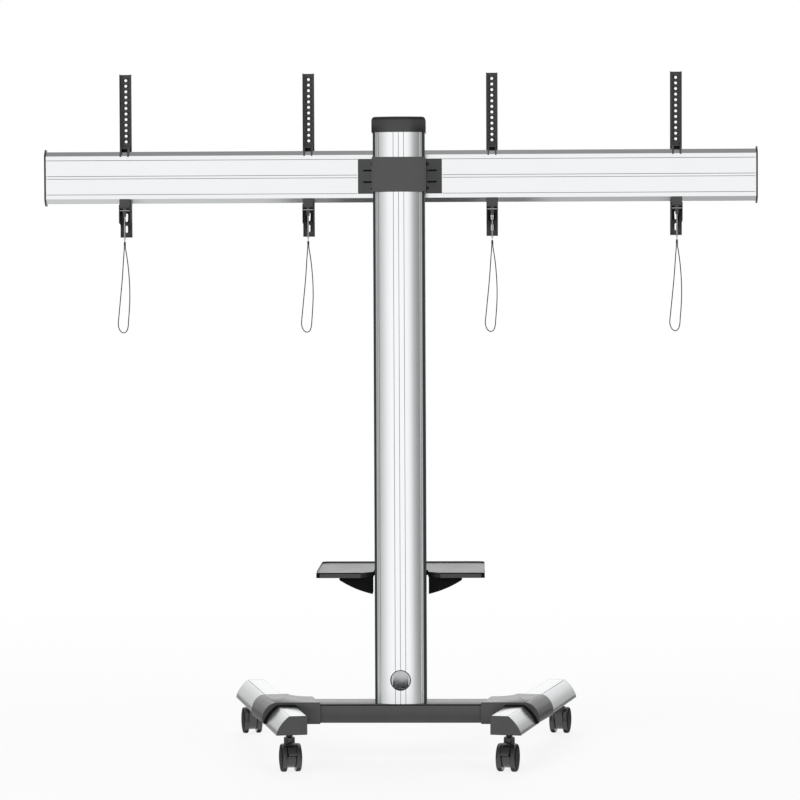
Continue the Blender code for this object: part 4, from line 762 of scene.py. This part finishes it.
class STAND_OT_column(bpy.types.Operator):
    """Dress the column, its side strips, its cap and the cable port's grommet"""
    bl_idname = "stand.column"
    bl_label = "Column"

    def execute(self, context):
        metal = anodised_extrusion("anodised_aluminium_column", (1.0, 1.0, 0.004))
        dressed("column", BASE, metal, 0.0)
        for side in ("left", "right"):
            dressed(f"column_side_strip_{side}", BASE, edging(), 0.0)
        dressed("column_cap", BASE, glossy_black(), sizes().moulded_rounding, smooth=40)
        dressed("column_foot", BASE, bright_steel(), 0.0)
        piece("column_groove_lines", self.groove_lines(), BASE, edging())
        piece("cable_duct_ribs", self.ribs(), BASE, duct_metal("mill_finish_aluminium"))
        piece("cable_port_grommet_turned", self.grommet(), BASE, black_plastic(),
              ("cable_port_grommet",))
        return {"FINISHED"}

    def grommet(self):
        """Round bush in the cable port, with a softly rounded lip."""
        low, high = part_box("cable_port_grommet")
        middle = middle_of("cable_port_grommet")
        radius = (high.x - low.x) / 2
        depth = high.y - low.y
        inner = radius - 0.003
        profile = [(inner, depth), (inner, 0.0012), (inner + 0.0004, 0.0004), (inner + 0.0012, 0),
                   (radius - 0.0012, 0), (radius - 0.0004, 0.0004), (radius, 0.0012), (radius, depth)]
        ring = moved(turned(profile, 64, closed=True), placed(middle.x, low.y, middle.z, "X", -math.pi / 2))
        bmesh.ops.recalc_face_normals(ring, faces=ring.faces)
        return ring

    def groove_lines(self):
        """Dark lines that show the shade at the bottom of the column's three front grooves."""
        low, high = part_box("column")
        port = middle_of("cable_port_grommet")
        port_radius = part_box("cable_port_grommet")[1].x - port.x
        half = sizes().line_width / 2
        crown, proud = 0.230, 0.0002
        bm = bmesh.new()
        for place in (-0.020, 0, 0.020):
            front = low.y + proud + crown - math.sqrt(crown ** 2 - place ** 2)
            outline = [(place - half, front), (place + half, front), (place, front + 0.0006)]
            gap = math.sqrt(port_radius ** 2 - place ** 2) + 0.001
            add_to(bm, plate(outline, "Z", low.z, port.z - gap))
            add_to(bm, plate(outline, "Z", port.z + gap, high.z))
        return bm

    def ribs(self):
        """The ribbed rear wall of the cable duct and the ends of its side walls, as seen in the port."""
        level = middle_of("cable_port_grommet").z
        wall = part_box("column_foot")[1].y
        face = wall - 0.003
        side_wall = 0.029
        outline = [(-side_wall, wall - 0.0005), (-side_wall, face)]
        for left, right in ((-0.0235, -0.0215), (-0.014, -0.009), (0.011, 0.0125), (0.0225, 0.024)):
            outline += [(left, face), (left + 0.0002, face + 0.002), (right - 0.0002, face + 0.002),
                        (right, face)]
        outline += [(side_wall, face), (side_wall, wall - 0.0005)]
        bm = plate(outline, "Z", level - 0.05, level + 0.09)
        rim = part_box("cable_port_grommet")[1].y
        reach, edge = 0.0355, 0.0302
        sweep = math.acos(edge / reach)
        for side in (-1, 1):
            ends = [(side * reach * math.cos(sweep * step / 6), level + reach * math.sin(sweep * step / 6))
                    for step in range(-6, 7)]
            add_to(bm, plate(ends, "Y", rim - 0.0008, rim - 0.0002))
        return bm


class STAND_OT_bar(bpy.types.Operator):
    """Dress the bar, its end caps, the clamp and the saddle, and add the clamp's bolts and black slot fills
    of painted shade
    """
    bl_idname = "stand.bar"
    bl_label = "Bar and Clamp"

    def execute(self, context):
        # The bar's metal is a darker copy of the column's: painted shade
        metal = anodised_extrusion("anodised_aluminium_bar", (0.004, 1.0, 1.0), tone=0.95)
        dressed("bar", BAR, metal, sizes().sheet_rounding)
        for side in ("left", "right"):
            dressed(f"bar_cap_{side}", BAR, black_plastic(), sizes().moulded_rounding)
        dressed("column_clamp", BAR, dark_paint(), sizes().sheet_rounding)
        dressed("column_saddle", BAR, bright_steel(), sizes().sheet_rounding)
        piece("clamp_bolts", self.bolts(), BAR, dark_paint(),
              rounding=sizes().small_rounding)
        piece("clamp_washers", self.washers(), BAR, matte_black())
        # Painted shade inside the slots of the clamp's wings
        piece("clamp_slot_pads", self.shade_fill(), BAR, matte_black())
        piece("bar_groove_lines", self.groove_lines(), BAR, edging())
        return {"FINISHED"}

    def groove_lines(self):
        """Dark lines that show the shade in the bar's grooves and beside its sunken middle band."""
        low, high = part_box("bar")
        middle = (low.z + high.z) / 2
        half = sizes().line_width / 2
        clamp_end, cap_lip, proud = 0.166, 0.006, 0.0005
        bm = bmesh.new()
        for side in (-1, 1):
            ends = sorted((side * clamp_end, side * (high.x - cap_lip)))
            for offset, sink in ((-0.0663, 0.0003), (-0.005, 0.0017), (0.005, 0.0017), (0.0663, 0.0003)):
                front = low.y + sink
                level = middle + offset
                outline = [(front, level - half), (front, level + half), (front + proud, level + half / 3),
                           (front + proud, level - half / 3)]
                add_to(bm, plate(outline, "X", *ends))
        return bm

    def shade_fill(self):
        """Black fill of painted shade in the slots of the clamp's wings, just below their edges."""
        low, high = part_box("bar")
        outer, inner, radius, spread = 0.13975, 0.10875, 0.00322, 0.0222
        bm = bmesh.new()
        for side in (-1, 1):
            for level in (-1, 1):
                height = (low.z + high.z) / 2 + level * spread
                outline = []
                for step in range(25):
                    angle = math.tau * step / 24 - math.pi / 2
                    end = outer if step <= 12 else inner
                    outline.append((side * (end + radius * math.cos(angle)),
                                    height + radius * math.sin(angle)))
                add_to(bm, plate(outline, "Y", low.y - 0.0026, low.y - 0.0018))
        return bm

    def bolts(self):
        """Button-head bolts with a sunk socket, on the wings of the clamp."""
        head = sizes().bolt_head / 2
        return self.on_wings([(0, 0.0005), (head, 0.0005), (head, 0.0016), (head * 0.93, 0.0028),
                              (head * 0.72, 0.0041), (head * 0.45, 0.0046), (head * 0.4, 0.0046),
                              (head * 0.38, 0.002), (0, 0.002)])

    def washers(self):
        """Black nylon washers under the bolts' heads."""
        edge = sizes().bolt_head / 2 + 0.003
        return self.on_wings([(0, 0.0004), (edge, 0.0004), (edge, 0.0012), (edge - 0.0004, 0.0016),
                              (0, 0.0016)])

    def on_wings(self, profile):
        """Four round pieces of one profile, at the bolts' places on the wings of the clamp."""
        low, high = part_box("bar")
        across, spread, wing = 0.106, 0.047, 0.0023
        bm = bmesh.new()
        for side in (-1, 1):
            for level in (-1, 1):
                height = (low.z + high.z) / 2 + level * spread
                add_to(bm, turned(profile, 32), placed(side * across, low.y - wing, height, "X"))
        return bm


class STAND_OT_display_strips(bpy.types.Operator):
    """Fold and perforate the display strips, and add their hooks and guide pins"""
    bl_idname = "stand.display_strips"
    bl_label = "Display Strips"

    def execute(self, context):
        for name in STRIPS:
            low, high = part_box(f"strip_{name}")
            place = Matrix.Translation(((low.x + high.x) / 2, 0, 0))
            half = (high.x - low.x) / 2
            body = f"display_strip_{name}"
            channel = moved(self.channel(half, high.y, high.z, low.z), place)
            folded = piece(f"strip_{name}_folded", channel, body, strip_paint(),
                           (f"strip_{name}",), smooth=30)
            wall = folded.modifiers.new("sheet", "SOLIDIFY")
            wall.thickness = sizes().strip_sheet
            wall.offset = -1
            wall.use_even_offset = True
            piece(f"hook_{name}", moved(self.hook(high.y, low.y), place), body, strip_paint(),
                  rounding=sizes().sheet_rounding)
            piece(f"guide_pin_{name}", moved(self.guide_pin(half), place), body, bright_steel(),
                  rounding=sizes().small_rounding)
        return {"FINISHED"}

    def channel(self, half, back, top, bottom):
        """Open shell of a folded channel: a web with its holes and slots, and the flanges beside it."""
        bar_low, bar_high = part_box("bar")
        weld_start, weld_end = bar_high.z - 0.010, bar_high.z + 0.030
        margin, bend, tolerance = 0.003, 0.003, 1e-5
        upper_flange, skirt_flange, tail_flange = 0.028, back - bar_low.y + 0.0005, 0.022
        pitch = sizes().hole_pitch
        first = top - sizes().hole_from_top
        under = bar_low.z - 0.0015
        skirt_end = bar_low.z - 0.075
        tail_start = skirt_end - 0.008
        count = math.floor((first - under) / pitch) + 1
        bm = bmesh.new()
        self.row(bm, half, top, first + pitch / 2)
        for number in range(count):
            level = first - number * pitch
            low = level - pitch / 2 if number < count - 1 else under
            if weld_start < level < weld_end:
                self.row(bm, half, level + pitch / 2, low)
            else:
                self.row(bm, half, level + pitch / 2, low, level, sizes().hole_diameter)
        self.row(bm, half, under, under - margin)
        slot_width = sizes().slot_width
        keyhole, key_length = bottom + 0.061, 0.0324
        key_top = keyhole + key_length + margin
        self.row(bm, half, under - margin, key_top)
        self.row(bm, half, key_top, skirt_end, keyhole + key_length / 2, slot_width, key_length,
                 head=1.25)
        self.row(bm, half, skirt_end, tail_start)
        slot, slot_length = bottom + 0.0188, 0.0274
        self.row(bm, half, tail_start, slot - margin, slot + slot_length / 2, slot_width, slot_length)
        self.row(bm, half, slot - margin, bottom)
        bmesh.ops.remove_doubles(bm, verts=bm.verts, dist=tolerance)

        def depth(height):
            if height > under - tolerance:
                return upper_flange
            return skirt_flange if height > skirt_end - tolerance else tail_flange

        for side in (-1, 1):
            rim = [edge for edge in bm.edges if edge.is_boundary
                   and all(abs(vert.co.x - side * half) < 1e-6 for vert in edge.verts)]
            grown = bmesh.ops.extrude_edge_only(bm, edges=rim)["geom"]
            for vert in verts_in(grown):
                vert.co.y -= depth(vert.co.z)
        bmesh.ops.recalc_face_normals(bm, faces=bm.faces)
        if sum(face.normal.y * face.calc_area() for face in bm.faces) < 0:
            bmesh.ops.reverse_faces(bm, faces=bm.faces)
        folds = [edge for edge in bm.edges if not edge.is_boundary
                 and all(abs(abs(vert.co.x) - half) < 1e-6 and abs(vert.co.y) < 1e-6 for vert in edge.verts)]
        bmesh.ops.bevel(bm, geom=folds, offset=bend, segments=3, profile=0.5, affect="EDGES", material=-1)
        bmesh.ops.translate(bm, verts=bm.verts, vec=(0, back, 0))
        return bm

    def row(self, bm, half, high, low, level=0.0, width=0.0, long=0.0, head=1.0):
        """One row of the web, plain or with a round hole, a slot or a keyhole in it."""
        cuts = 6
        stood = placed(0, 0, (high + low) / 2, "X") @ Matrix.Diagonal((half, (high - low) / 2, 1, 1))
        if not width:
            bmesh.ops.create_grid(bm, x_segments=cuts, y_segments=1, size=1, matrix=stood)
            return
        corner = Matrix.Rotation(math.pi / 4, 4, "Z")
        square = bmesh.ops.create_circle(bm, segments=4, radius=math.sqrt(2), matrix=stood @ corner)
        sides = list({edge for vert in square["verts"] for edge in vert.link_edges})
        split = bmesh.ops.subdivide_edges(bm, edges=sides, cuts=cuts - 1)
        sides = list(set(sides) | {item for item in split["geom"] if isinstance(item, bmesh.types.BMEdge)})
        turn = placed(0, 0, level, "X") @ Matrix.Rotation(math.pi / (4 * cuts), 4, "Z")
        ring = bmesh.ops.create_circle(bm, segments=4 * cuts, radius=width / 2, matrix=turn)["verts"]
        if long:
            for vert in ring:
                above = vert.co.z > level
                if above and head > 1:
                    vert.co.x *= head
                    vert.co.z = level + (vert.co.z - level) * head
                reach = long / 2 - width / 2 * (head if above else 1.0)
                vert.co.z += reach if above else -reach
        hole = list({edge for vert in ring for edge in vert.link_edges})
        bmesh.ops.bridge_loops(bm, edges=sides + hole)

    def hook(self, back, front):
        """Two prongs that reach over the bar and down its rear chamfer, with a bridge between them."""
        low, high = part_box("bar")
        top = high.z
        rear = low.y
        web = back - 0.0014
        chamfer = 0.017
        outline = [
            (web, top + 0.0005), (rear + chamfer - 0.0002, top + 0.0005),
            (rear - 0.0005, top - chamfer + 0.0002), (rear - 0.0005, top - 0.0185),
            (rear - 0.0018, top - 0.0203), (front + 0.0018, top - 0.0203), (front + 0.0002, top - 0.0185),
            (front + 0.0002, top - 0.011), (rear + 0.0090, top + 0.015), (rear + 0.0115, top + 0.0180),
            (rear + 0.0150, top + 0.0190), (web, top + 0.0190),
        ]
        bm = bmesh.new()
        spacing = sizes().prong_spacing / 2
        reach = sizes().prong_thickness / 2
        for side in (-1, 1):
            add_to(bm, plate(outline, "X", side * spacing - reach, side * spacing + reach))
        end = rear + chamfer - 0.002
        bridge = [(end, top + 0.0115), (web, top + 0.0115), (web, top + 0.0155), (end, top + 0.0155)]
        add_to(bm, plate(bridge, "X", reach - spacing, spacing - reach))
        return bm

    def guide_pin(self, half):
        """Bright pin across the channel, under the latch's block."""
        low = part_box("bar")[0]
        reach = half - sizes().strip_sheet / 2
        return rod(2 * reach, 0.002, placed(0, low.y + 0.017, low.z - 0.0277, "Y"))


class STAND_OT_latches(bpy.types.Operator):
    """Model the spring latches with their bright pull wires and rings"""
    bl_idname = "stand.latches"
    bl_label = "Latches"

    def execute(self, context):
        tongue_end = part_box("bar")[0].z - 0.052
        for name in STRIPS:
            node = f"latch_{name}"
            body = f"spring_latch_{name}"
            piece(f"{node}_grip", self.grip(node, tongue_end + 0.0004), body, strip_paint(),
                  (node,), sizes().sheet_rounding)
            piece(f"pull_wire_{name}", self.pull_wire(node, tongue_end), body, bright_steel())
        return {"FINISHED"}

    def grip(self, node, level):
        """The latch's painted part, cut off where its bright wire begins."""
        bm = merged(node)
        bmesh.ops.bisect_plane(bm, geom=bm.verts[:] + bm.edges[:] + bm.faces[:], dist=1e-7,
                               plane_co=(0, 0, level), plane_no=(0, 0, -1), clear_outer=True)
        bmesh.ops.edgenet_fill(bm, edges=[edge for edge in bm.edges if edge.is_boundary])
        bmesh.ops.recalc_face_normals(bm, faces=bm.faces)
        return bm

    def pull_wire(self, node, level):
        """Wire from the latch's tongue down to the ring that holds the ferrule's eye."""
        x, y = middle_of(node).x, middle_of(f"ferrule_{STRIPS[0]}").y
        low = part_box(node)[0].z
        radius = sizes().wire_diameter / 2
        ring = 0.0039
        foot = low + 2 * ring - RING_WIRE
        profile = [(0, foot), (radius - 0.0004, foot), (radius, foot + 0.0004), (radius, level), (0, level)]
        bm = bmesh.new()
        add_to(bm, turned(profile, 24), Matrix.Translation((x, y, 0)))
        add_to(bm, wire_ring(ring), placed(x, y, low + ring, "X"))
        add_to(bm, rod(0.0385, 0.0018, placed(x, y - 0.0038, level + 0.0243, "Y")))
        return bm


class STAND_OT_shelf(bpy.types.Operator):
    """Dress the shelf's tray, gussets and bracket"""
    bl_idname = "stand.shelf"
    bl_label = "Shelf"

    def execute(self, context):
        body = "shelf_carriage"
        paint = powder_coat("powder_coat_shelf_grey", colours().shelf_paint, roughness=0.22, grain=0.002,
                            relief=0.00001)
        dressed("shelf_tray", body, paint, sizes().sheet_rounding)
        for side in ("left", "right"):
            dressed(f"shelf_gusset_{side}", body, matte_black(), sizes().moulded_rounding)
        dressed("shelf_bracket", body, strip_paint(), sizes().sheet_rounding)
        piece("shelf_edge_trim", self.trim(), body, matte_black())
        return {"FINISHED"}

    def trim(self):
        """Black edging along the top of the tray's near lip, with a block over each of its corners."""
        low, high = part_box("shelf_tray")
        top, near, end = high.z - 0.005, low.y, high.x
        lip, start = 0.020, 0.152
        edge = [(near - 0.0005, top - 0.0036), (near - 0.0005, top + 0.0002),
                (near + 0.0006, top + 0.0005), (near + 0.0006, top - 0.0036)]
        corner = [(end + 0.0004, near + 0.008), (end + 0.0004, near + 0.004),
                  (end - 0.0012, near + 0.0008), (end - 0.004, near - 0.0004), (end - 0.013, near - 0.0004),
                  (end - 0.013, near + 0.0004), (end - 0.0004, near + 0.008)]
        bm = bmesh.new()
        for side in (-1, 1):
            add_to(bm, plate(edge, "X", *sorted((side * start, side * (end - 0.0035)))))
            outline = [(side * x, y) for x, y in corner]
            add_to(bm, plate(outline, "Z", top - lip + 0.0005, top - 0.0005))
        return bm


class STAND_OT_stage(bpy.types.Operator):
    """Lay the pale floor and light the stand softly in a white room"""
    bl_idname = "stand.stage"
    bl_label = "Floor and Lights"

    # Level of the walls round the room, by the bearing in degrees: 0 behind the camera, 90 on the left
    WALLS = ((0, 1.0), (20, 1.0), (28, 0.81), (36, 0.59), (44, 0.38), (52, 0.26), (90, 0.25), (140, 0.32),
             (155, 0.52), (172, 1.0), (188, 1.0), (196, 0.75), (205, 0.42), (215, 0.27), (270, 0.25),
             (310, 0.28), (322, 0.25), (328, 0.32), (334.6, 0.54), (340, 0.85), (344, 1.0), (360, 1.0))
    # Level of the room by height, from eye level at 0 to straight overhead at 1
    OVERHEAD = ((0.0, 1.0), (0.22, 1.0), (0.5, 0.66), (0.78, 0.42), (1.0, 0.4))

    def execute(self, context):
        context.scene.view_settings.view_transform = "Standard"
        self.floor(context)
        self.room(context)
        self.lamp(context, "lamp_key", (-4.0, -6.5, 5.6), size=4.0, power=430)
        self.lamp(context, "lamp_fill", (5.0, -6.0, 3.6), size=4.0, power=230)
        self.lamp(context, "lamp_back", (0.5, 5.5, 6.0), size=5.0, power=420)
        return {"FINISHED"}

    def floor(self, context):
        """A wide pale disc that keeps the stand's shadow and fades into the room.

        Polished metal shows it by where it is met: bright in front of the stand, dimmer under and behind it
        like the walls, and bright again close to what stands on it.
        """
        bm = bmesh.new()
        bmesh.ops.create_circle(bm, cap_ends=True, segments=128, radius=40)
        mesh = bpy.data.meshes.new("floor")
        bm.to_mesh(mesh)
        bm.free()
        ground = bpy.data.objects.new("floor", mesh)
        context.scene.collection.objects.link(ground)
        made, tree, shader, place = new_finish("pale_floor", 0.9)
        shader.inputs["Specular IOR Level"].default_value = 0.0
        parts = add_node(tree, "ShaderNodeSeparateXYZ", {0: place}).outputs
        away = add_node(tree, "ShaderNodeVectorMath", {0: place}, operation="LENGTH").outputs["Value"]
        reach = add_node(tree, "ShaderNodeLightPath").outputs["Ray Length"]
        straight, glossy = self.background_rays(tree)

        seen = mapped(tree, away, 0.85, 1.0, start=1.5, end=6.0)
        ahead = mapped(tree, parts["Y"], 1.0, 0.0, start=-2.2, end=0.3)
        across = mapped(tree, parts["X"], 0.72, 0.48, start=-1.4, end=1.4)
        behind = mapped(tree, parts["Y"], 1.0, 0.35, start=0.4, end=1.0)
        under = maths(tree, "MULTIPLY", across, behind)
        near = mapped(tree, reach, 1.0, 0.0, start=0.45, end=0.75)
        clear = mapped(tree, reach, 0.0, 1.0, start=0.012, end=0.022)
        close = maths(tree, "MULTIPLY", near, clear)
        below = mapped(tree, reach, 0.0, 1.0, start=1.5, end=2.0)

        far = blend(tree, ahead, under, self.wall_level(tree, parts))
        reflected = maths(tree, "MAXIMUM", far, close)
        distant = maths(tree, "MAXIMUM", ahead, below)
        mirrored = maths(tree, "MAXIMUM", distant, close)
        first = maths(tree, "MULTIPLY", seen, straight)
        share = maths(tree, "MULTIPLY_ADD", mirrored, glossy, first)
        strength = blend(tree, glossy, 1.0, reflected)
        tree.links.new(mapped(tree, straight, 0.25, 0.6), shader.inputs["Base Color"])
        white = add_node(tree, "ShaderNodeEmission", {"Color": (*colours().backdrop, 1),
                                                      "Strength": strength})
        mix = add_node(tree, "ShaderNodeMixShader", {0: share, 1: shader.outputs[0], 2: white.outputs[0]})
        tree.links.new(mix.outputs[0], tree.nodes["Material Output"].inputs["Surface"])
        mesh.materials.append(made)

    def background_rays(self, tree):
        """The rays that show the background: those seen straight or through glass, and reflected ones."""
        rays = add_node(tree, "ShaderNodeLightPath").outputs
        straight = maths(tree, "MAXIMUM", rays["Is Camera Ray"], rays["Is Transmission Ray"])
        return straight, rays["Is Glossy Ray"]

    def room(self, context):
        """A room that is white at eye level and darker overhead, with soft gaps between its bright walls.

        The gaps are paler above eye level than below it.
        """
        world = bpy.data.worlds.new("room")
        context.scene.world = world
        world.use_nodes = True
        tree = world.node_tree
        tree.nodes.clear()
        place = add_node(tree, "ShaderNodeTexCoord").outputs["Generated"]
        parts = add_node(tree, "ShaderNodeSeparateXYZ", {0: place}).outputs
        overhead = self.ramp(tree, parts["Z"], self.OVERHEAD)
        rise = mapped(tree, parts["Z"], 0.0, 0.55, start=0.12, end=0.2)
        walls = blend(tree, rise, self.wall_level(tree, parts), 1.0)
        mirrored = maths(tree, "MULTIPLY", overhead, walls)
        straight, glossy = self.background_rays(tree)
        level = blend(tree, straight, blend(tree, glossy, 0.5, mirrored), 1.0)
        light = add_node(tree, "ShaderNodeBackground", {"Color": (*colours().backdrop, 1),
                                                        "Strength": level})
        add_node(tree, "ShaderNodeOutputWorld", {"Surface": light.outputs[0]})

    def wall_level(self, tree, parts):
        """Level of the walls in the direction, or beyond the place, that separate X and Y values give."""
        bearing = maths(tree, "ARCTAN2", parts["X"], parts["Y"])
        share = maths(tree, "MULTIPLY_ADD", bearing, 1 / math.tau, 0.5)
        return self.ramp(tree, share, [(degrees / 360, level) for degrees, level in self.WALLS])

    def ramp(self, tree, value, stops):
        """A grey level that follows a value through stops of (place, level)."""
        node = add_node(tree, "ShaderNodeValToRGB", {0: value})
        band = node.color_ramp
        while len(band.elements) > 1:
            band.elements.remove(band.elements[-1])
        for number, (place, grey) in enumerate(stops):
            stop = band.elements.new(place) if number else band.elements[0]
            stop.position = place
            stop.color = (grey, grey, grey, 1)
        return node.outputs["Color"]

    def lamp(self, context, name, place, size, power):
        """A large soft lamp that points at the middle of the stand."""
        target = Vector((0, 0, 1.3))
        light = bpy.data.lights.new(name, "AREA")
        light.shape = "SQUARE"
        light.size = size
        light.energy = power
        made = bpy.data.objects.new(name, light)
        made.location = place
        made.rotation_euler = (target - Vector(place)).to_track_quat("-Z", "Y").to_euler()
        made.visible_glossy = False
        context.scene.collection.objects.link(made)


OPERATORS = (STAND_OT_camera, STAND_OT_pull_cords, STAND_OT_base, STAND_OT_legs, STAND_OT_castors,
             STAND_OT_column, STAND_OT_bar, STAND_OT_display_strips, STAND_OT_latches, STAND_OT_shelf,
             STAND_OT_stage)


class STAND_PT_looks(bpy.types.Panel):
    """The stand's pieces, sizes and colours"""
    bl_label = "Video Wall Stand"
    bl_idname = "STAND_PT_looks"
    bl_space_type = "VIEW_3D"
    bl_region_type = "UI"
    bl_category = "Stand"

    def draw(self, context):
        for operator in OPERATORS:
            self.layout.operator(operator.bl_idname)
        for group in (context.scene.stand_sizes, context.scene.stand_colours):
            box = self.layout.box()
            for name in group.__annotations__:
                box.prop(group, name)


CLASSES = (StandSizes, StandColours, *OPERATORS, STAND_PT_looks)


def register():
    for item in CLASSES:
        bpy.utils.register_class(item)
    bpy.types.Scene.stand_sizes = bpy.props.PointerProperty(type=StandSizes)
    bpy.types.Scene.stand_colours = bpy.props.PointerProperty(type=StandColours)


def unregister():
    del bpy.types.Scene.stand_colours
    del bpy.types.Scene.stand_sizes
    for item in reversed(CLASSES):
        bpy.utils.unregister_class(item)


def main():
    register()
    bpy.ops.stand.camera()
    bpy.ops.stand.pull_cords()
    bpy.ops.stand.base()
    bpy.ops.stand.legs()
    bpy.ops.stand.castors()
    bpy.ops.stand.column()
    bpy.ops.stand.bar()
    bpy.ops.stand.display_strips()
    bpy.ops.stand.latches()
    bpy.ops.stand.shelf()
    bpy.ops.stand.stage()


if __name__ == "__main__":
    main()
